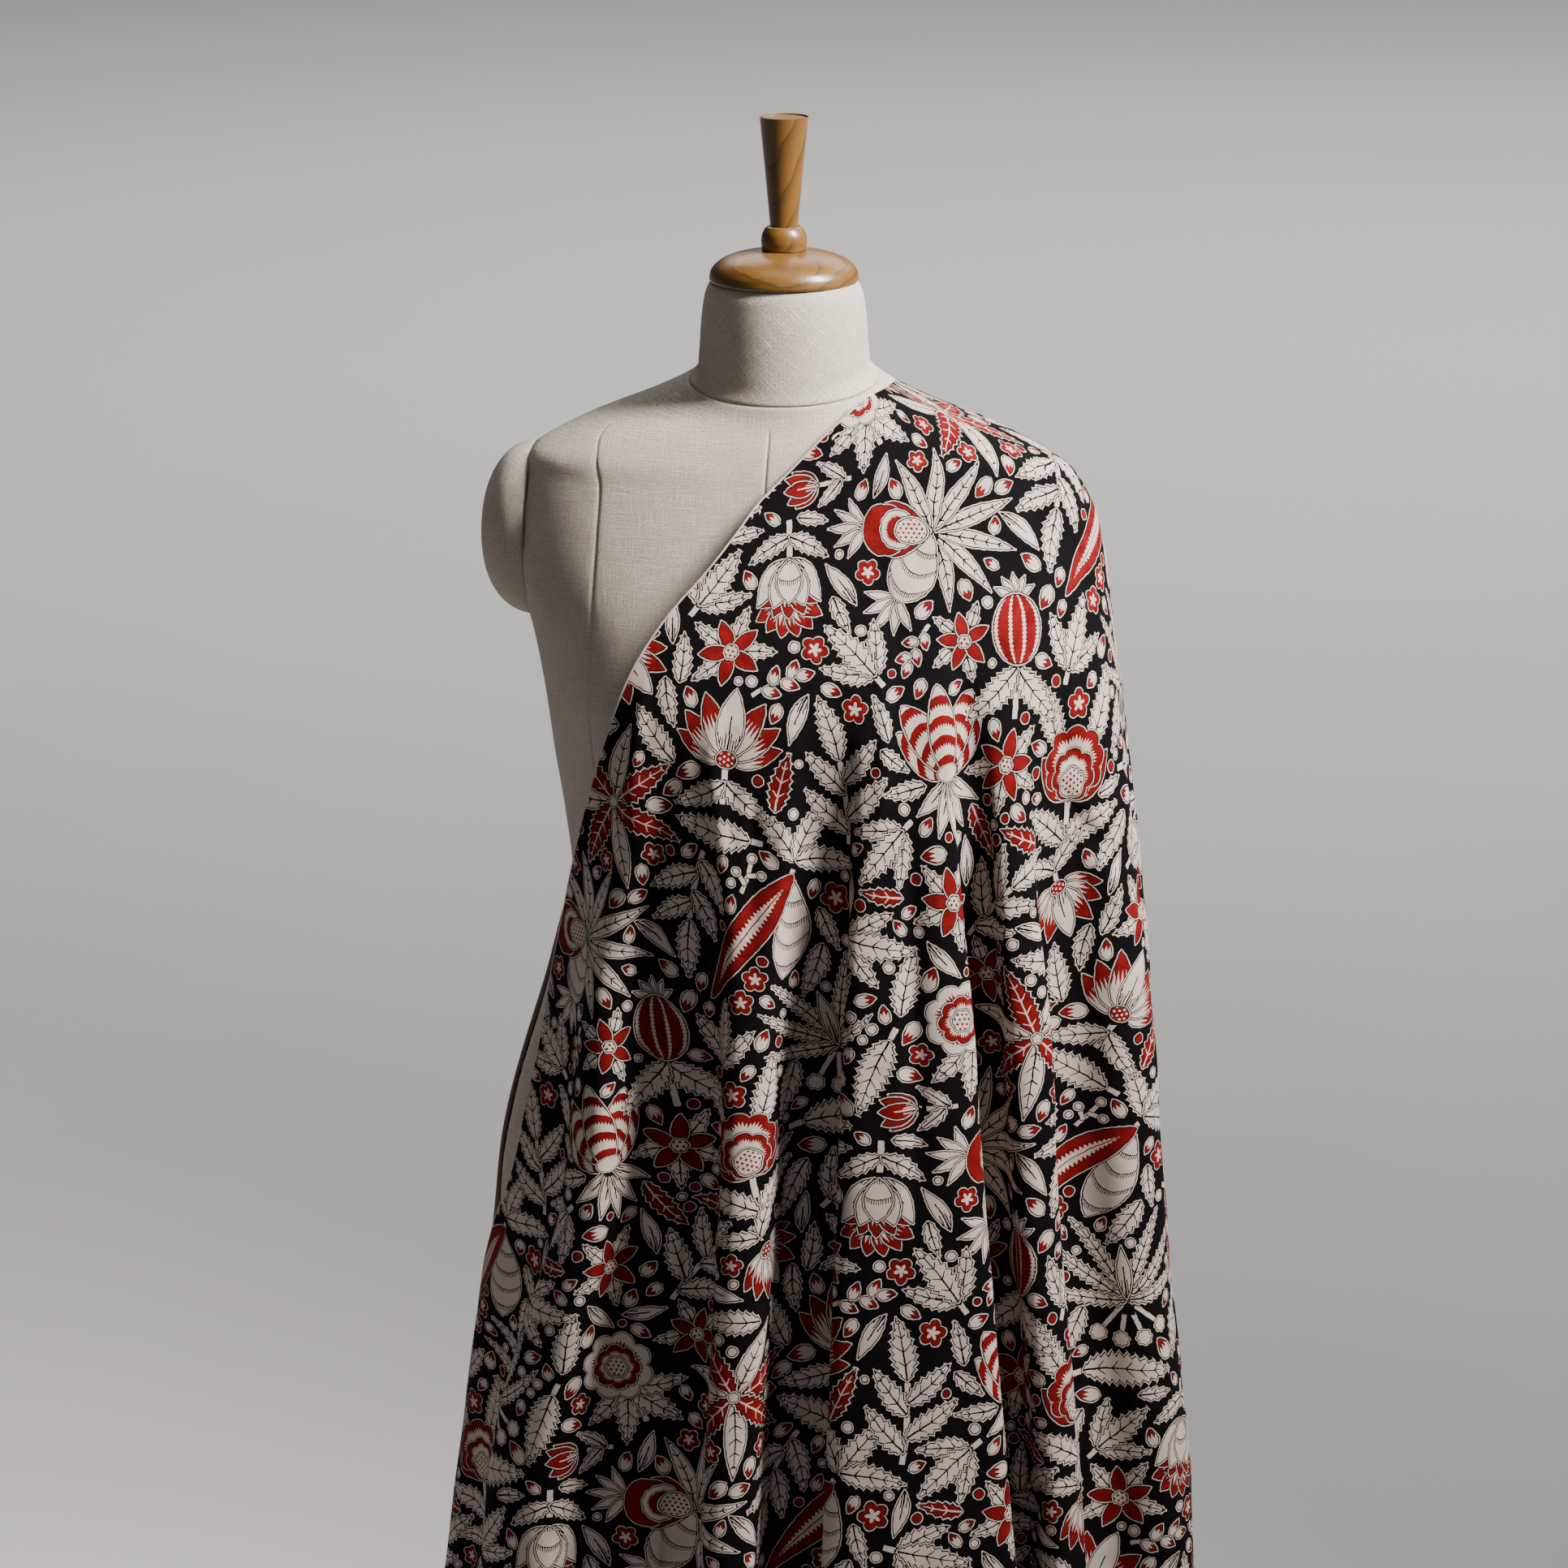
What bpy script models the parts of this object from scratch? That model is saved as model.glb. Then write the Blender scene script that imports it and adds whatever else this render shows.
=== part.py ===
"""A length of kalamkari cloth draped over one shoulder of a tailor's dress form.

The form stands on a round base on the floor, and its centre front faces -Y. The cloth is one
sheet: it lies on the left shoulder, crosses the chest on a slant to the right hip and hangs in
vertical folds to a hem above the base. Units are metres, and the origin is the middle of the
base's underside.

Every section, of the form and of the cloth, is a horizontal outline round the pole's axis, given
by how far it reaches to each side, to the front and to the back. An angle is measured from the
front towards +X, so 0 is the front, 90 the form's left side, 180 the back and -90 its right.
"""

import math
from collections import namedtuple

import bmesh
import bpy
import numpy as np

# Driving sizes
FLOOR_GAP = 0.0003            # clearance between pieces that touch
TORSO_FLOOR = 0.720           # height of the torso's flat underside
NECK_SEAM = 1.404             # height of the neck seam at the side of the neck
NECK_LEAN = 0.20              # rise of the neck seam for each metre towards the back
NECK_TOP = 1.4705
ARMHOLE_X = 0.174             # the flat armhole's distance from the middle
ARMHOLE_FLOOR = 1.150         # the torso is cut flat at the armhole above this height
BUST_ANGLE, BUST_HEIGHT = 34.0, 1.185
BUST_RISE, BUST_WIDTH, BUST_DROP = 0.014, 17.0, 0.050

STUMP_MIDDLE = 1.295          # height of the arm stump's middle
STUMP_RISE, STUMP_DROP, STUMP_DEPTH = 0.0630, 0.0625, 0.050
STUMP_REACH = 0.0370          # how far the stump stands out from the armhole
STUMP_ROUND = (0.92, 0.74)    # how its upper and its lower half close in; less is fuller

POLE_RADIUS = 0.017
BASE_RADIUS, BASE_RIM, HUB_TOP = 0.170, 0.010, 0.045

CLOTH_THICKNESS = 0.002
CLOTH_CLEARANCE = 0.0033      # from the form's surface to the middle of the cloth
CLOTH_LIFT = 0.0045           # the same, straight up from the shoulder
CLOTH_TURN = 9.5              # the drape's front is turned this much from the form's, in degrees
HEM = 0.170
SHOULDER_TOP = 1.4030         # height of the cloth's edge beside the neck
COLLAR_DIP = 0.009            # how far that short edge falls to the front and to the back
SLIT_TOP, SLIT_ANGLE, SLIT_OPENING = 0.930, 112.0, (1.5, 3.6)
WAIST = 1.040
FRONT_PIVOT, BACK_PIVOT = 26.0, 136.0    # fold lines outside these angles close up with the edges

Section = namedtuple("Section", "height half front back square")
Drape = namedtuple("Drape", "height right left front back square")
Edge = namedtuple("Edge", "height front back")
Fold = namedtuple("Fold", "name waist hem depth start overlap")

# The torso from its underside to the neck seam: half width, depths and squareness
TORSO = (
    Section(0.720, 0.1955, 0.118, 0.128, 2.3),
    Section(0.780, 0.2020, 0.121, 0.133, 2.3),
    Section(0.830, 0.2010, 0.120, 0.134, 2.3),
    Section(0.890, 0.1900, 0.116, 0.126, 2.3),
    Section(0.968, 0.1675, 0.108, 0.110, 2.2),
    Section(1.044, 0.1485, 0.098, 0.095, 2.2),
    Section(1.100, 0.1535, 0.105, 0.099, 2.2),
    Section(1.144, 0.1600, 0.119, 0.104, 2.2),
    Section(1.188, 0.1660, 0.126, 0.109, 2.2),
    Section(1.232, 0.1745, 0.120, 0.111, 2.3),
    Section(1.262, 0.1830, 0.110, 0.111, 2.4),
    Section(1.300, 0.1865, 0.095, 0.106, 2.4),
    Section(1.338, 0.1820, 0.080, 0.092, 2.3),
    Section(1.353, 0.1755, 0.074, 0.085, 2.3),
    Section(1.361, 0.1640, 0.070, 0.080, 2.2),
    Section(1.377, 0.1315, 0.063, 0.069, 2.1),
    Section(1.390, 0.0960, 0.059, 0.061, 2.0),
    Section(1.399, 0.0750, 0.057, 0.058, 2.0),
    Section(NECK_SEAM, 0.0665, 0.0565, 0.0570, 2.0),
)

# The neck from its seam to the flat top under the wooden cap
NECK = (
    Section(NECK_SEAM + FLOOR_GAP, 0.0660, 0.0563, 0.0568, 2.0),
    Section(1.4110, 0.0606, 0.0556, 0.0560, 2.0),
    Section(1.4220, 0.0594, 0.0556, 0.0560, 2.0),
    Section(1.4400, 0.0588, 0.0552, 0.0556, 2.0),
    Section(1.4560, 0.0570, 0.0538, 0.0542, 2.0),
    Section(1.4660, 0.0540, 0.0515, 0.0520, 2.0),
    Section(NECK_TOP, 0.0510, 0.0490, 0.0495, 2.0),
)

# The cloth's middle outline, without its folds, as it lies on the form and then hangs free
DRAPE = (
    Drape(1.4030, 0.0700, 0.060, 0.058, 0.058, 2.0),
    Drape(1.3836, 0.1150, 0.110, 0.063, 0.066, 2.1),
    Drape(1.3672, 0.1540, 0.145, 0.071, 0.078, 2.2),
    Drape(1.3474, 0.1890, 0.160, 0.082, 0.091, 2.6),
    Drape(1.3224, 0.2090, 0.165, 0.096, 0.104, 2.9),
    Drape(1.2934, 0.2180, 0.170, 0.109, 0.112, 3.0),
    Drape(1.2558, 0.2245, 0.172, 0.127, 0.117, 2.9),
    Drape(1.2258, 0.2290, 0.172, 0.141, 0.119, 2.7),
    Drape(1.1940, 0.2340, 0.171, 0.151, 0.121, 2.6),
    Drape(1.1390, 0.2405, 0.167, 0.155, 0.123, 2.5),
    Drape(1.0500, 0.2485, 0.160, 0.158, 0.127, 2.4),
    Drape(0.9860, 0.2535, 0.170, 0.160, 0.131, 2.4),
    Drape(0.8800, 0.2605, 0.197, 0.163, 0.142, 2.3),
    Drape(0.7790, 0.2690, 0.211, 0.166, 0.148, 2.3),
    Drape(0.6650, 0.2825, 0.225, 0.170, 0.152, 2.3),
    Drape(0.5380, 0.2885, 0.239, 0.174, 0.156, 2.3),
    Drape(HEM, 0.3010, 0.264, 0.184, 0.166, 2.3),
)

# The angles of the cloth's two slanting edges: front and back, from the neck to the hem
EDGES = (
    Edge(1.3915, 55.0, 106.0),
    Edge(1.3700, 31.0, 128.0),
    Edge(1.3499, 12.0, 146.0),
    Edge(1.2938, -18.0, 180.0),
    Edge(1.2413, -35.0, 204.0),
    Edge(1.1829, -43.5, 220.0),
    Edge(1.1175, -53.0, 234.0),
    Edge(1.0292, -68.0, 248.0),
    Edge(0.9290, -68.5, 256.0),
    Edge(0.8600, -70.0, 260.0),
    Edge(0.7900, -82.0, 260.0),
    Edge(0.7000, -98.0, 256.0),
    Edge(0.5600, -103.0, 253.0),
    Edge(HEM, -106.0, 249.0),
)

# The ridges and valleys of the hanging folds, from the front edge round to the back edge: angles
# at the waist and at the hem, depth out of or into the outline at the hem, the height where each
# begins, and how far the flank that follows turns under, where 1 is upright and more overhangs
FOLDS = (
    Fold("front_edge", -70.0, -106.0, 0.002, 0.80, 0.6),
    Fold("hip_ridge", -65.0, -94.0, 0.005, 0.84, 0.9),
    Fold("hip_valley", -58.0, -82.0, -0.015, 0.84, 1.3),
    Fold("outer_ridge", -50.0, -67.0, 0.013, 0.92, 0.8),
    Fold("outer_valley", -42.0, -53.0, -0.013, 0.98, 0.7),
    Fold("wide_ridge", -32.0, -38.0, 0.014, 1.00, 0.9),
    Fold("deep_valley", -20.0, -21.5, -0.021, 1.04, 0.9),
    Fold("middle_ridge", -8.0, -11.0, 0.013, 1.06, 0.7),
    Fold("centre_valley", 6.0, 0.0, -0.019, 1.14, 1.75),
    Fold("box_ridge_left", 19.0, 17.0, 0.018, 1.14, 0.3),
    Fold("box_ridge_right", 30.0, 44.0, 0.020, 1.20, 1.75),
    Fold("box_valley", 47.0, 53.0, -0.025, 1.20, 2.00),
    Fold("arm_ridge_left", 63.0, 59.0, 0.017, 1.20, 0.3),
    Fold("arm_ridge_right", 69.0, 70.0, 0.012, 1.28, 1.75),
    Fold("side_valley", 80.0, 83.0, -0.014, 1.28, 1.0),
    Fold("side_ridge", 92.0, 93.0, 0.003, 1.27, 1.2),
    Fold("rear_side_valley", 102.0, 102.0, -0.014, 1.25, 0.8),
    Fold("slit_ridge", SLIT_ANGLE, SLIT_ANGLE, 0.008, 1.20, 0.8),
    Fold("back_valley_1", 123.0, 124.0, -0.014, 1.20, 1.3),
    Fold("back_ridge_1", 136.0, 138.0, 0.016, 1.20, 1.0),
    Fold("back_valley_2", 149.0, 151.0, -0.013, 1.15, 0.8),
    Fold("back_ridge_2", 163.0, 165.0, 0.015, 1.15, 1.6),
    Fold("back_valley_3", 177.0, 178.0, -0.015, 1.10, 0.9),
    Fold("back_ridge_3", 192.0, 193.0, 0.015, 1.08, 0.9),
    Fold("back_valley_4", 207.0, 207.0, -0.013, 1.04, 1.3),
    Fold("back_ridge_4", 222.0, 221.0, 0.013, 1.00, 0.8),
    Fold("back_valley_5", 235.0, 235.0, -0.010, 0.94, 0.7),
    Fold("back_edge", 248.0, 249.0, 0.004, 0.80, 0.0),
)
FOLD_REACH = 0.34             # a fold takes this much height to reach most of its depth

CLOTH_ROWS, CLOTH_STEPS = 33, 3
TORSO_SEGMENTS, NECK_SEGMENTS, STUMP_SEGMENTS, TURNED_SEGMENTS = 44, 36, 28, 40

# Turned profiles, radius and height, each from the top of the axis to the bottom
CAP_PROFILE = (
    (0.0000, 1.4920), (0.0160, 1.4918), (0.0300, 1.4898), (0.0400, 1.4866), (0.0468, 1.4824),
    (0.0505, 1.4776), (0.0511, 1.4742), (0.0503, 1.4712), (0.0495, NECK_TOP + FLOOR_GAP),
    (0.0000, NECK_TOP + FLOOR_GAP),
)
HANDLE_PROFILE = (
    (0.0000, 1.5822), (0.0155, 1.5822), (0.0164, 1.5812), (0.0128, 1.5440), (0.0097, 1.5095),
    (0.0124, 1.5075), (0.0148, 1.5035), (0.0157, 1.4985), (0.0154, 1.4950), (0.0150, 1.4923),
    (0.0000, 1.4923),
)
COLLAR_PROFILE = (
    (0.0000, TORSO_FLOOR - FLOOR_GAP), (0.0400, TORSO_FLOOR - FLOOR_GAP), (0.0400, 0.712),
    (0.0360, 0.706), (0.0280, 0.703), (0.0260, 0.696), (0.0000, 0.696),
)
POLE_PROFILE = (
    (0.0000, 0.6957), (POLE_RADIUS, 0.6957), (POLE_RADIUS, 0.380), (POLE_RADIUS, HUB_TOP + FLOOR_GAP),
    (0.0000, HUB_TOP + FLOOR_GAP),
)
BASE_PROFILE = (
    (0.0000, HUB_TOP), (0.0260, HUB_TOP), (0.0280, HUB_TOP - 0.002), (0.0290, 0.030),
    (0.0340, 0.024), (0.0600, 0.020), (0.1200, 0.017), (0.1600, BASE_RIM + 0.003),
    (0.1680, BASE_RIM), (BASE_RADIUS, BASE_RIM - 0.003), (BASE_RADIUS, 0.002), (0.1685, 0.0),
    (0.0000, 0.0),
)


def clear_scene():
    """Remove every object that the scene starts with."""
    for item in list(bpy.data.objects):
        bpy.data.objects.remove(item, do_unlink=True)


def plain_material(name, colour, roughness, metallic=0.0):
    """Return a material of one colour, roughness and metallic value."""
    material = bpy.data.materials.new(name)
    material.use_nodes = True
    shader = material.node_tree.nodes["Principled BSDF"]
    shader.inputs["Base Color"].default_value = (*colour, 1.0)
    shader.inputs["Roughness"].default_value = roughness
    shader.inputs["Metallic"].default_value = metallic
    material.diffuse_color = (*colour, 1.0)
    return material


def link(mesh, name, material):
    """Put a mesh into the scene as one named, smooth object."""
    mesh.materials.append(material)
    mesh.shade_smooth()
    mesh.set_sharp_from_angle(angle=math.radians(40.0))
    piece = bpy.data.objects.new(name, mesh)
    bpy.context.scene.collection.objects.link(piece)
    return piece


def along(rows, field, heights):
    """Read one column of a table at any heights, on a smooth curve through its rows."""
    rows = sorted(rows, key=lambda row: row.height)
    at = np.array([row.height for row in rows])
    value = np.array([getattr(row, field) for row in rows])
    slope = np.gradient(value, at)
    heights = np.clip(np.asarray(heights, dtype=float), at[0], at[-1])
    low = np.clip(np.searchsorted(at, heights, side="right") - 1, 0, len(at) - 2)
    step = at[low + 1] - at[low]
    t = (heights - at[low]) / step
    return ((2 * t ** 3 - 3 * t ** 2 + 1) * value[low]
            + (t ** 3 - 2 * t ** 2 + t) * step * slope[low]
            + (3 * t ** 2 - 2 * t ** 3) * value[low + 1]
            + (t ** 3 - t ** 2) * step * slope[low + 1])


def reach(angle, right, left, front, back, square):
    """Return an outline's distance from the axis at an angle in radians."""
    across = np.where(np.sin(angle) >= 0, right, left)
    deep = np.where(np.cos(angle) >= 0, front, back)
    return (np.abs(np.sin(angle) / across) ** square
            + np.abs(np.cos(angle) / deep) ** square) ** (-1.0 / square)


def ease(t):
    """Return a smooth rise from 0 to 1 as t goes from 0 to 1."""
    t = np.clip(t, 0.0, 1.0)
    return t * t * (3.0 - 2.0 * t)


def section_reach(rows, angle, height):
    """Return the distance from the axis of a table's outline at an angle and a height."""
    half = along(rows, "half", height)
    return reach(angle, half, half, along(rows, "front", height), along(rows, "back", height),
                 along(rows, "square", height))


def torso_reach(angle, height):
    """Return the torso's distance from the axis, with the bust and the flat armholes."""
    radius = section_reach(TORSO, angle, height)
    level = np.exp(-((height - BUST_HEIGHT) / BUST_DROP) ** 2)
    for side in (-BUST_ANGLE, BUST_ANGLE):
        around = np.degrees(angle) - side
        radius = radius + BUST_RISE * level * np.exp(-(around / BUST_WIDTH) ** 2)
    flat = ARMHOLE_X / np.maximum(np.abs(np.sin(angle)), 0.01)
    return np.where(height > ARMHOLE_FLOOR, np.minimum(radius, flat), radius)


def neck_reach(angle, height):
    """Return the neck's distance from the axis."""
    return section_reach(NECK, angle, height)


def stump_reach(angle, height):
    """Return the left arm stump's distance from the axis, or 0 where a line misses it."""
    rise = np.where(height > STUMP_MIDDLE, STUMP_RISE, STUMP_DROP)
    level = np.sqrt(np.maximum(1.0 - ((height - STUMP_MIDDLE) / rise) ** 2, 1e-6))
    deep, out = STUMP_DEPTH * level, STUMP_REACH * level
    square = np.sin(angle) ** 2 / out ** 2 + np.cos(angle) ** 2 / deep ** 2
    linear = -2.0 * ARMHOLE_X * np.sin(angle) / out ** 2
    room = linear ** 2 - 4.0 * square * (ARMHOLE_X ** 2 / out ** 2 - 1.0)
    radius = (-linear + np.sqrt(np.maximum(room, 0.0))) / (2.0 * square)
    return np.where((room > 0.0) & (np.sin(angle) > 0.0), radius, 0.0)


def loft(rings):
    """Return a closed mesh through rings of points, with a flat face at each end."""
    form = bmesh.new()
    circles = [[form.verts.new(point) for point in ring] for ring in rings]
    count = len(circles[0])
    for lower, upper in zip(circles, circles[1:]):
        for i in range(count):
            j = (i + 1) % count
            form.faces.new((lower[i], lower[j], upper[j], upper[i]))
    form.faces.new(list(reversed(circles[0])))
    form.faces.new(circles[-1])
    bmesh.ops.recalc_face_normals(form, faces=form.faces)
    mesh = bpy.data.meshes.new("loft")
    form.to_mesh(mesh)
    form.free()
    return mesh


def body_ring(height, segments, radius_at, lean):
    """Return one ring of a body at a height, leaning up towards the back."""
    angle = np.linspace(-math.pi, math.pi, segments, endpoint=False)
    radius = radius_at(angle, height)
    x, y = radius * np.sin(angle), -radius * np.cos(angle)
    return np.column_stack((x, y, height + lean * y))


def build_torso(linen):
    """Make the linen-covered torso, closed flat underneath and along the neck seam."""
    heights = [row.height for row in TORSO]
    middles = [0.5 * (low + high) for low, high in zip(heights, heights[1:]) if high - low > 0.035]
    rings = []
    for height in sorted(heights + middles):
        lean = NECK_LEAN * ease((height - 1.36) / (NECK_SEAM - 1.36))
        rings.append(body_ring(height, TORSO_SEGMENTS, torso_reach, float(lean)))
    return link(loft(rings), "torso", linen)


def build_neck(linen):
    """Make the neck block between the slanting seam and the flat top."""
    rings = []
    for row in NECK:
        lean = NECK_LEAN * (1.0 - ease((row.height - NECK_SEAM) / (NECK_TOP - NECK_SEAM)))
        rings.append(body_ring(row.height, NECK_SEGMENTS, neck_reach, float(lean)))
    return link(loft(rings), "neck", linen)


def build_stump(name, side, linen):
    """Make one rounded arm stump, closed flat against its armhole."""
    rings = []
    for turn in np.radians([0.0, 18.0, 35.0, 50.0, 64.0, 76.0]):
        angle = np.linspace(0.0, 2.0 * math.pi, STUMP_SEGMENTS, endpoint=False)
        upper = ease(0.5 + 0.5 * np.sin(angle))
        rise = np.where(np.sin(angle) > 0, STUMP_RISE, STUMP_DROP)
        shrink = math.cos(turn) ** (STUMP_ROUND[1] + (STUMP_ROUND[0] - STUMP_ROUND[1]) * upper)
        x = np.full(STUMP_SEGMENTS, ARMHOLE_X + FLOOR_GAP + STUMP_REACH * math.sin(turn))
        y = STUMP_DEPTH * shrink * np.cos(angle)
        z = STUMP_MIDDLE + rise * shrink * np.sin(angle)
        rings.append(np.column_stack((side * x, y, z)))
    return link(loft(rings), name, linen)


def build_turned(name, profile, segments, material):
    """Make a turned piece from half its outline with a Screw modifier."""
    mesh = bpy.data.meshes.new(name)
    points = [(radius, 0.0, height) for radius, height in profile]
    mesh.from_pydata(points, [(i, i + 1) for i in range(len(points) - 1)], [])
    piece = link(mesh, name, material)
    screw = piece.modifiers.new("turn", "SCREW")
    screw.steps = segments
    screw.render_steps = segments
    screw.use_merge_vertices = True
    screw.merge_threshold = 0.0001
    screw.use_smooth_shade = True
    return piece


def cloth_heights():
    """Return the height of each row of the cloth where it passes the arm side.

    The rows are evenly spaced along the sheet, so they lie close in height on the shoulder.
    """
    height = np.linspace(SHOULDER_TOP, HEM, 600)
    side = along(DRAPE, "right", height)
    run = np.concatenate(([0.0], np.cumsum(np.hypot(np.diff(side), np.diff(height)))))
    even = np.linspace(0.0, 1.0, CLOTH_ROWS)
    spread = 0.55 * even + 0.45 * even ** 2
    return np.interp(spread * run[-1], run, height)


def fold_positions(height, front, back):
    """Return each fold line's angle at one height, from the waist and hem angles.

    The lines near the two slanting edges close up with them, and on the shoulder all the lines
    spread evenly between the edges.
    """
    waist = np.array([fold.waist for fold in FOLDS])
    hem = np.array([fold.hem for fold in FOLDS])
    lines = waist + (hem - waist) * (WAIST - height) / (WAIST - HEM)
    near_front = FRONT_PIVOT - (FRONT_PIVOT - lines) * (FRONT_PIVOT - front) / (FRONT_PIVOT - lines[0])
    near_back = BACK_PIVOT + (lines - BACK_PIVOT) * (back - BACK_PIVOT) / (lines[-1] - BACK_PIVOT)
    lines = np.where(lines < FRONT_PIVOT, near_front, np.where(lines > BACK_PIVOT, near_back, lines))
    even = np.linspace(front, back, len(FOLDS))
    return even + (lines - even) * float(ease((1.35 - height) / 0.17))


def cloth_row(top_height, along_top, steps):
    """Return one row of the cloth's middle surface, from the front edge to the back edge.

    Between two fold lines the depth runs as a half cosine, and the position runs ahead and then
    back by the first line's overlap, so that a flank with an overlap over 1 turns under.
    """
    count = len(FOLDS) - 1
    dip = COLLAR_DIP * math.exp(-along_top / 0.030)
    edge_height = top_height - dip
    front = float(along(EDGES, "front", edge_height))
    back = float(along(EDGES, "back", edge_height))
    lines = fold_positions(top_height, front, back)

    start = np.array([fold.start for fold in FOLDS])
    grown = ease((start - top_height) / FOLD_REACH)
    fullness = 0.62 + 0.38 * (1.0 - (top_height - HEM) / (SHOULDER_TOP - HEM))
    depth = np.array([fold.depth for fold in FOLDS]) * grown * fullness
    overlap = np.array([fold.overlap for fold in FOLDS]) * grown

    place = np.arange(count * steps + 1) / steps
    first = np.minimum(place.astype(int), count - 1)
    t = place - first
    swing = t + overlap[first] * np.sin(2.0 * math.pi * t) / (2.0 * math.pi)
    angle = lines[first] + (lines[first + 1] - lines[first]) * swing
    out = depth[first] + (depth[first + 1] - depth[first]) * 0.5 * (1.0 - np.cos(math.pi * t))
    height = top_height - dip * np.abs(2.0 * place / count - 1.0) ** 2
    return surface_point(angle, height, out)


def form_reach(angle, height):
    """Return how far out the middle of the cloth is where it lies on the torso or the stump.

    The form is measured a little above and below as well, because the shoulder slopes so little.
    """
    turned = angle + math.radians(CLOTH_TURN)
    turned = (turned + math.pi) % (2.0 * math.pi) - math.pi
    radius = np.maximum(torso_reach(turned, height), stump_reach(turned, height))
    for lower in (height - CLOTH_LIFT, height - 0.5 * CLOTH_LIFT):
        radius = np.maximum(radius, torso_reach(turned, lower))
        radius = np.maximum(radius, stump_reach(turned, lower))
    return radius + CLOTH_CLEARANCE


def smooth_max(one, other, blend=0.0025):
    """Return the larger of two values, rounded where they are close."""
    over = 0.5 * (other - one)
    return one + over + np.sqrt(over ** 2 + blend ** 2)


def cloth_reach(angle, height):
    """Return the cloth's distance from the axis without folds, outside the form's surface."""
    hang = reach(angle, along(DRAPE, "right", height), along(DRAPE, "left", height),
                 along(DRAPE, "front", height), along(DRAPE, "back", height),
                 along(DRAPE, "square", height))
    return smooth_max(form_reach(angle, height), hang)


def surface_point(degrees, height, out):
    """Return points on the cloth at an angle and height, moved out along the outline's normal.

    A valley never sinks into the form.
    """
    angle = np.radians(degrees)
    radius = cloth_reach(angle, height)
    nudge = math.radians(1.0)
    slope = (cloth_reach(angle + nudge, height) - cloth_reach(angle - nudge, height)) / (2.0 * nudge)
    tilt = angle - np.arctan2(slope, radius)
    x = radius * np.sin(angle) + out * np.sin(tilt)
    y = -radius * np.cos(angle) - out * np.cos(tilt)

    placed = np.arctan2(x, -y)
    radius = smooth_max(form_reach(placed, height), np.hypot(x, y), 0.0008)
    turned = placed + math.radians(CLOTH_TURN)
    return np.column_stack((radius * np.sin(turned), -radius * np.cos(turned), height))


def build_cloth(printed):
    """Make the draped cloth as one sheet, parted at a side slit below the hip."""
    heights = cloth_heights()
    run = np.linspace(0.0, 1.0, CLOTH_ROWS)
    length = SHOULDER_TOP - HEM
    rows = [cloth_row(height, share * length, CLOTH_STEPS) for height, share in zip(heights, run)]
    grid = np.array(rows)
    slit = next(i for i, fold in enumerate(FOLDS) if fold.name == "slit_ridge") * CLOTH_STEPS

    open_rows = [row for row in range(CLOTH_ROWS) if heights[row] < SLIT_TOP]
    columns = grid.shape[1]
    points = grid.reshape(-1, 3).tolist()
    rear_edge = {}
    for row in open_rows:
        part = (SLIT_TOP - heights[row]) / (SLIT_TOP - HEM)
        step = math.radians(SLIT_OPENING[0] + (SLIT_OPENING[1] - SLIT_OPENING[0]) * part)
        x, y, z = grid[row, slit]
        rear_edge[row] = len(points)
        points.append((x * math.cos(step) - y * math.sin(step),
                       x * math.sin(step) + y * math.cos(step), z))

    faces = []
    for row in range(CLOTH_ROWS - 1):
        for column in range(columns - 1):
            corners = [(row, column), (row + 1, column), (row + 1, column + 1), (row, column + 1)]
            face = []
            for r, c in corners:
                behind = c == slit and column >= slit and r in rear_edge
                face.append(rear_edge[r] if behind else r * columns + c)
            faces.append(face)

    mesh = bpy.data.meshes.new("cloth")
    mesh.from_pydata(points, [], faces)
    piece = link(mesh, "cloth", printed)
    thicken = piece.modifiers.new("thickness", "SOLIDIFY")
    thicken.thickness = CLOTH_THICKNESS
    thicken.offset = 0.0
    return piece


def build():
    """Make every piece of the part."""
    clear_scene()
    linen = plain_material("linen", (0.62, 0.57, 0.50), 0.85)
    wood = plain_material("turned_wood", (0.50, 0.29, 0.11), 0.35)
    paint = plain_material("painted_steel", (0.03, 0.03, 0.032), 0.45, 0.0)
    printed = plain_material("printed_cotton", (0.16, 0.05, 0.045), 0.80)

    build_turned("base", BASE_PROFILE, TURNED_SEGMENTS + 8, paint)
    build_turned("pole", POLE_PROFILE, 24, wood)
    build_turned("pole_collar", COLLAR_PROFILE, 32, wood)
    build_torso(linen)
    build_stump("arm_stump_left", 1.0, linen)
    build_stump("arm_stump_right", -1.0, linen)
    build_neck(linen)
    build_turned("neck_cap", CAP_PROFILE, TURNED_SEGMENTS, wood)
    build_turned("handle", HANDLE_PROFILE, 32, wood)
    build_cloth(printed)


build()
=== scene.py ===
"""Kalamkari fabric draped over one shoulder of a tailor's dress form.

The dress form faces -Y and stands on the floor, with its pole on the Z axis. Lengths are metres,
except in the print and the weaves, whose coordinates are millimetres along the cloth. An angle is
measured from the front towards +X. The cloth's tables use angles from the camera's side, and
DRAPE_TURN is added to them.
"""

from __future__ import annotations

import logging
import math
from dataclasses import dataclass, field
from enum import IntEnum
from typing import Any, Callable, NamedTuple, Sequence

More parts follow.
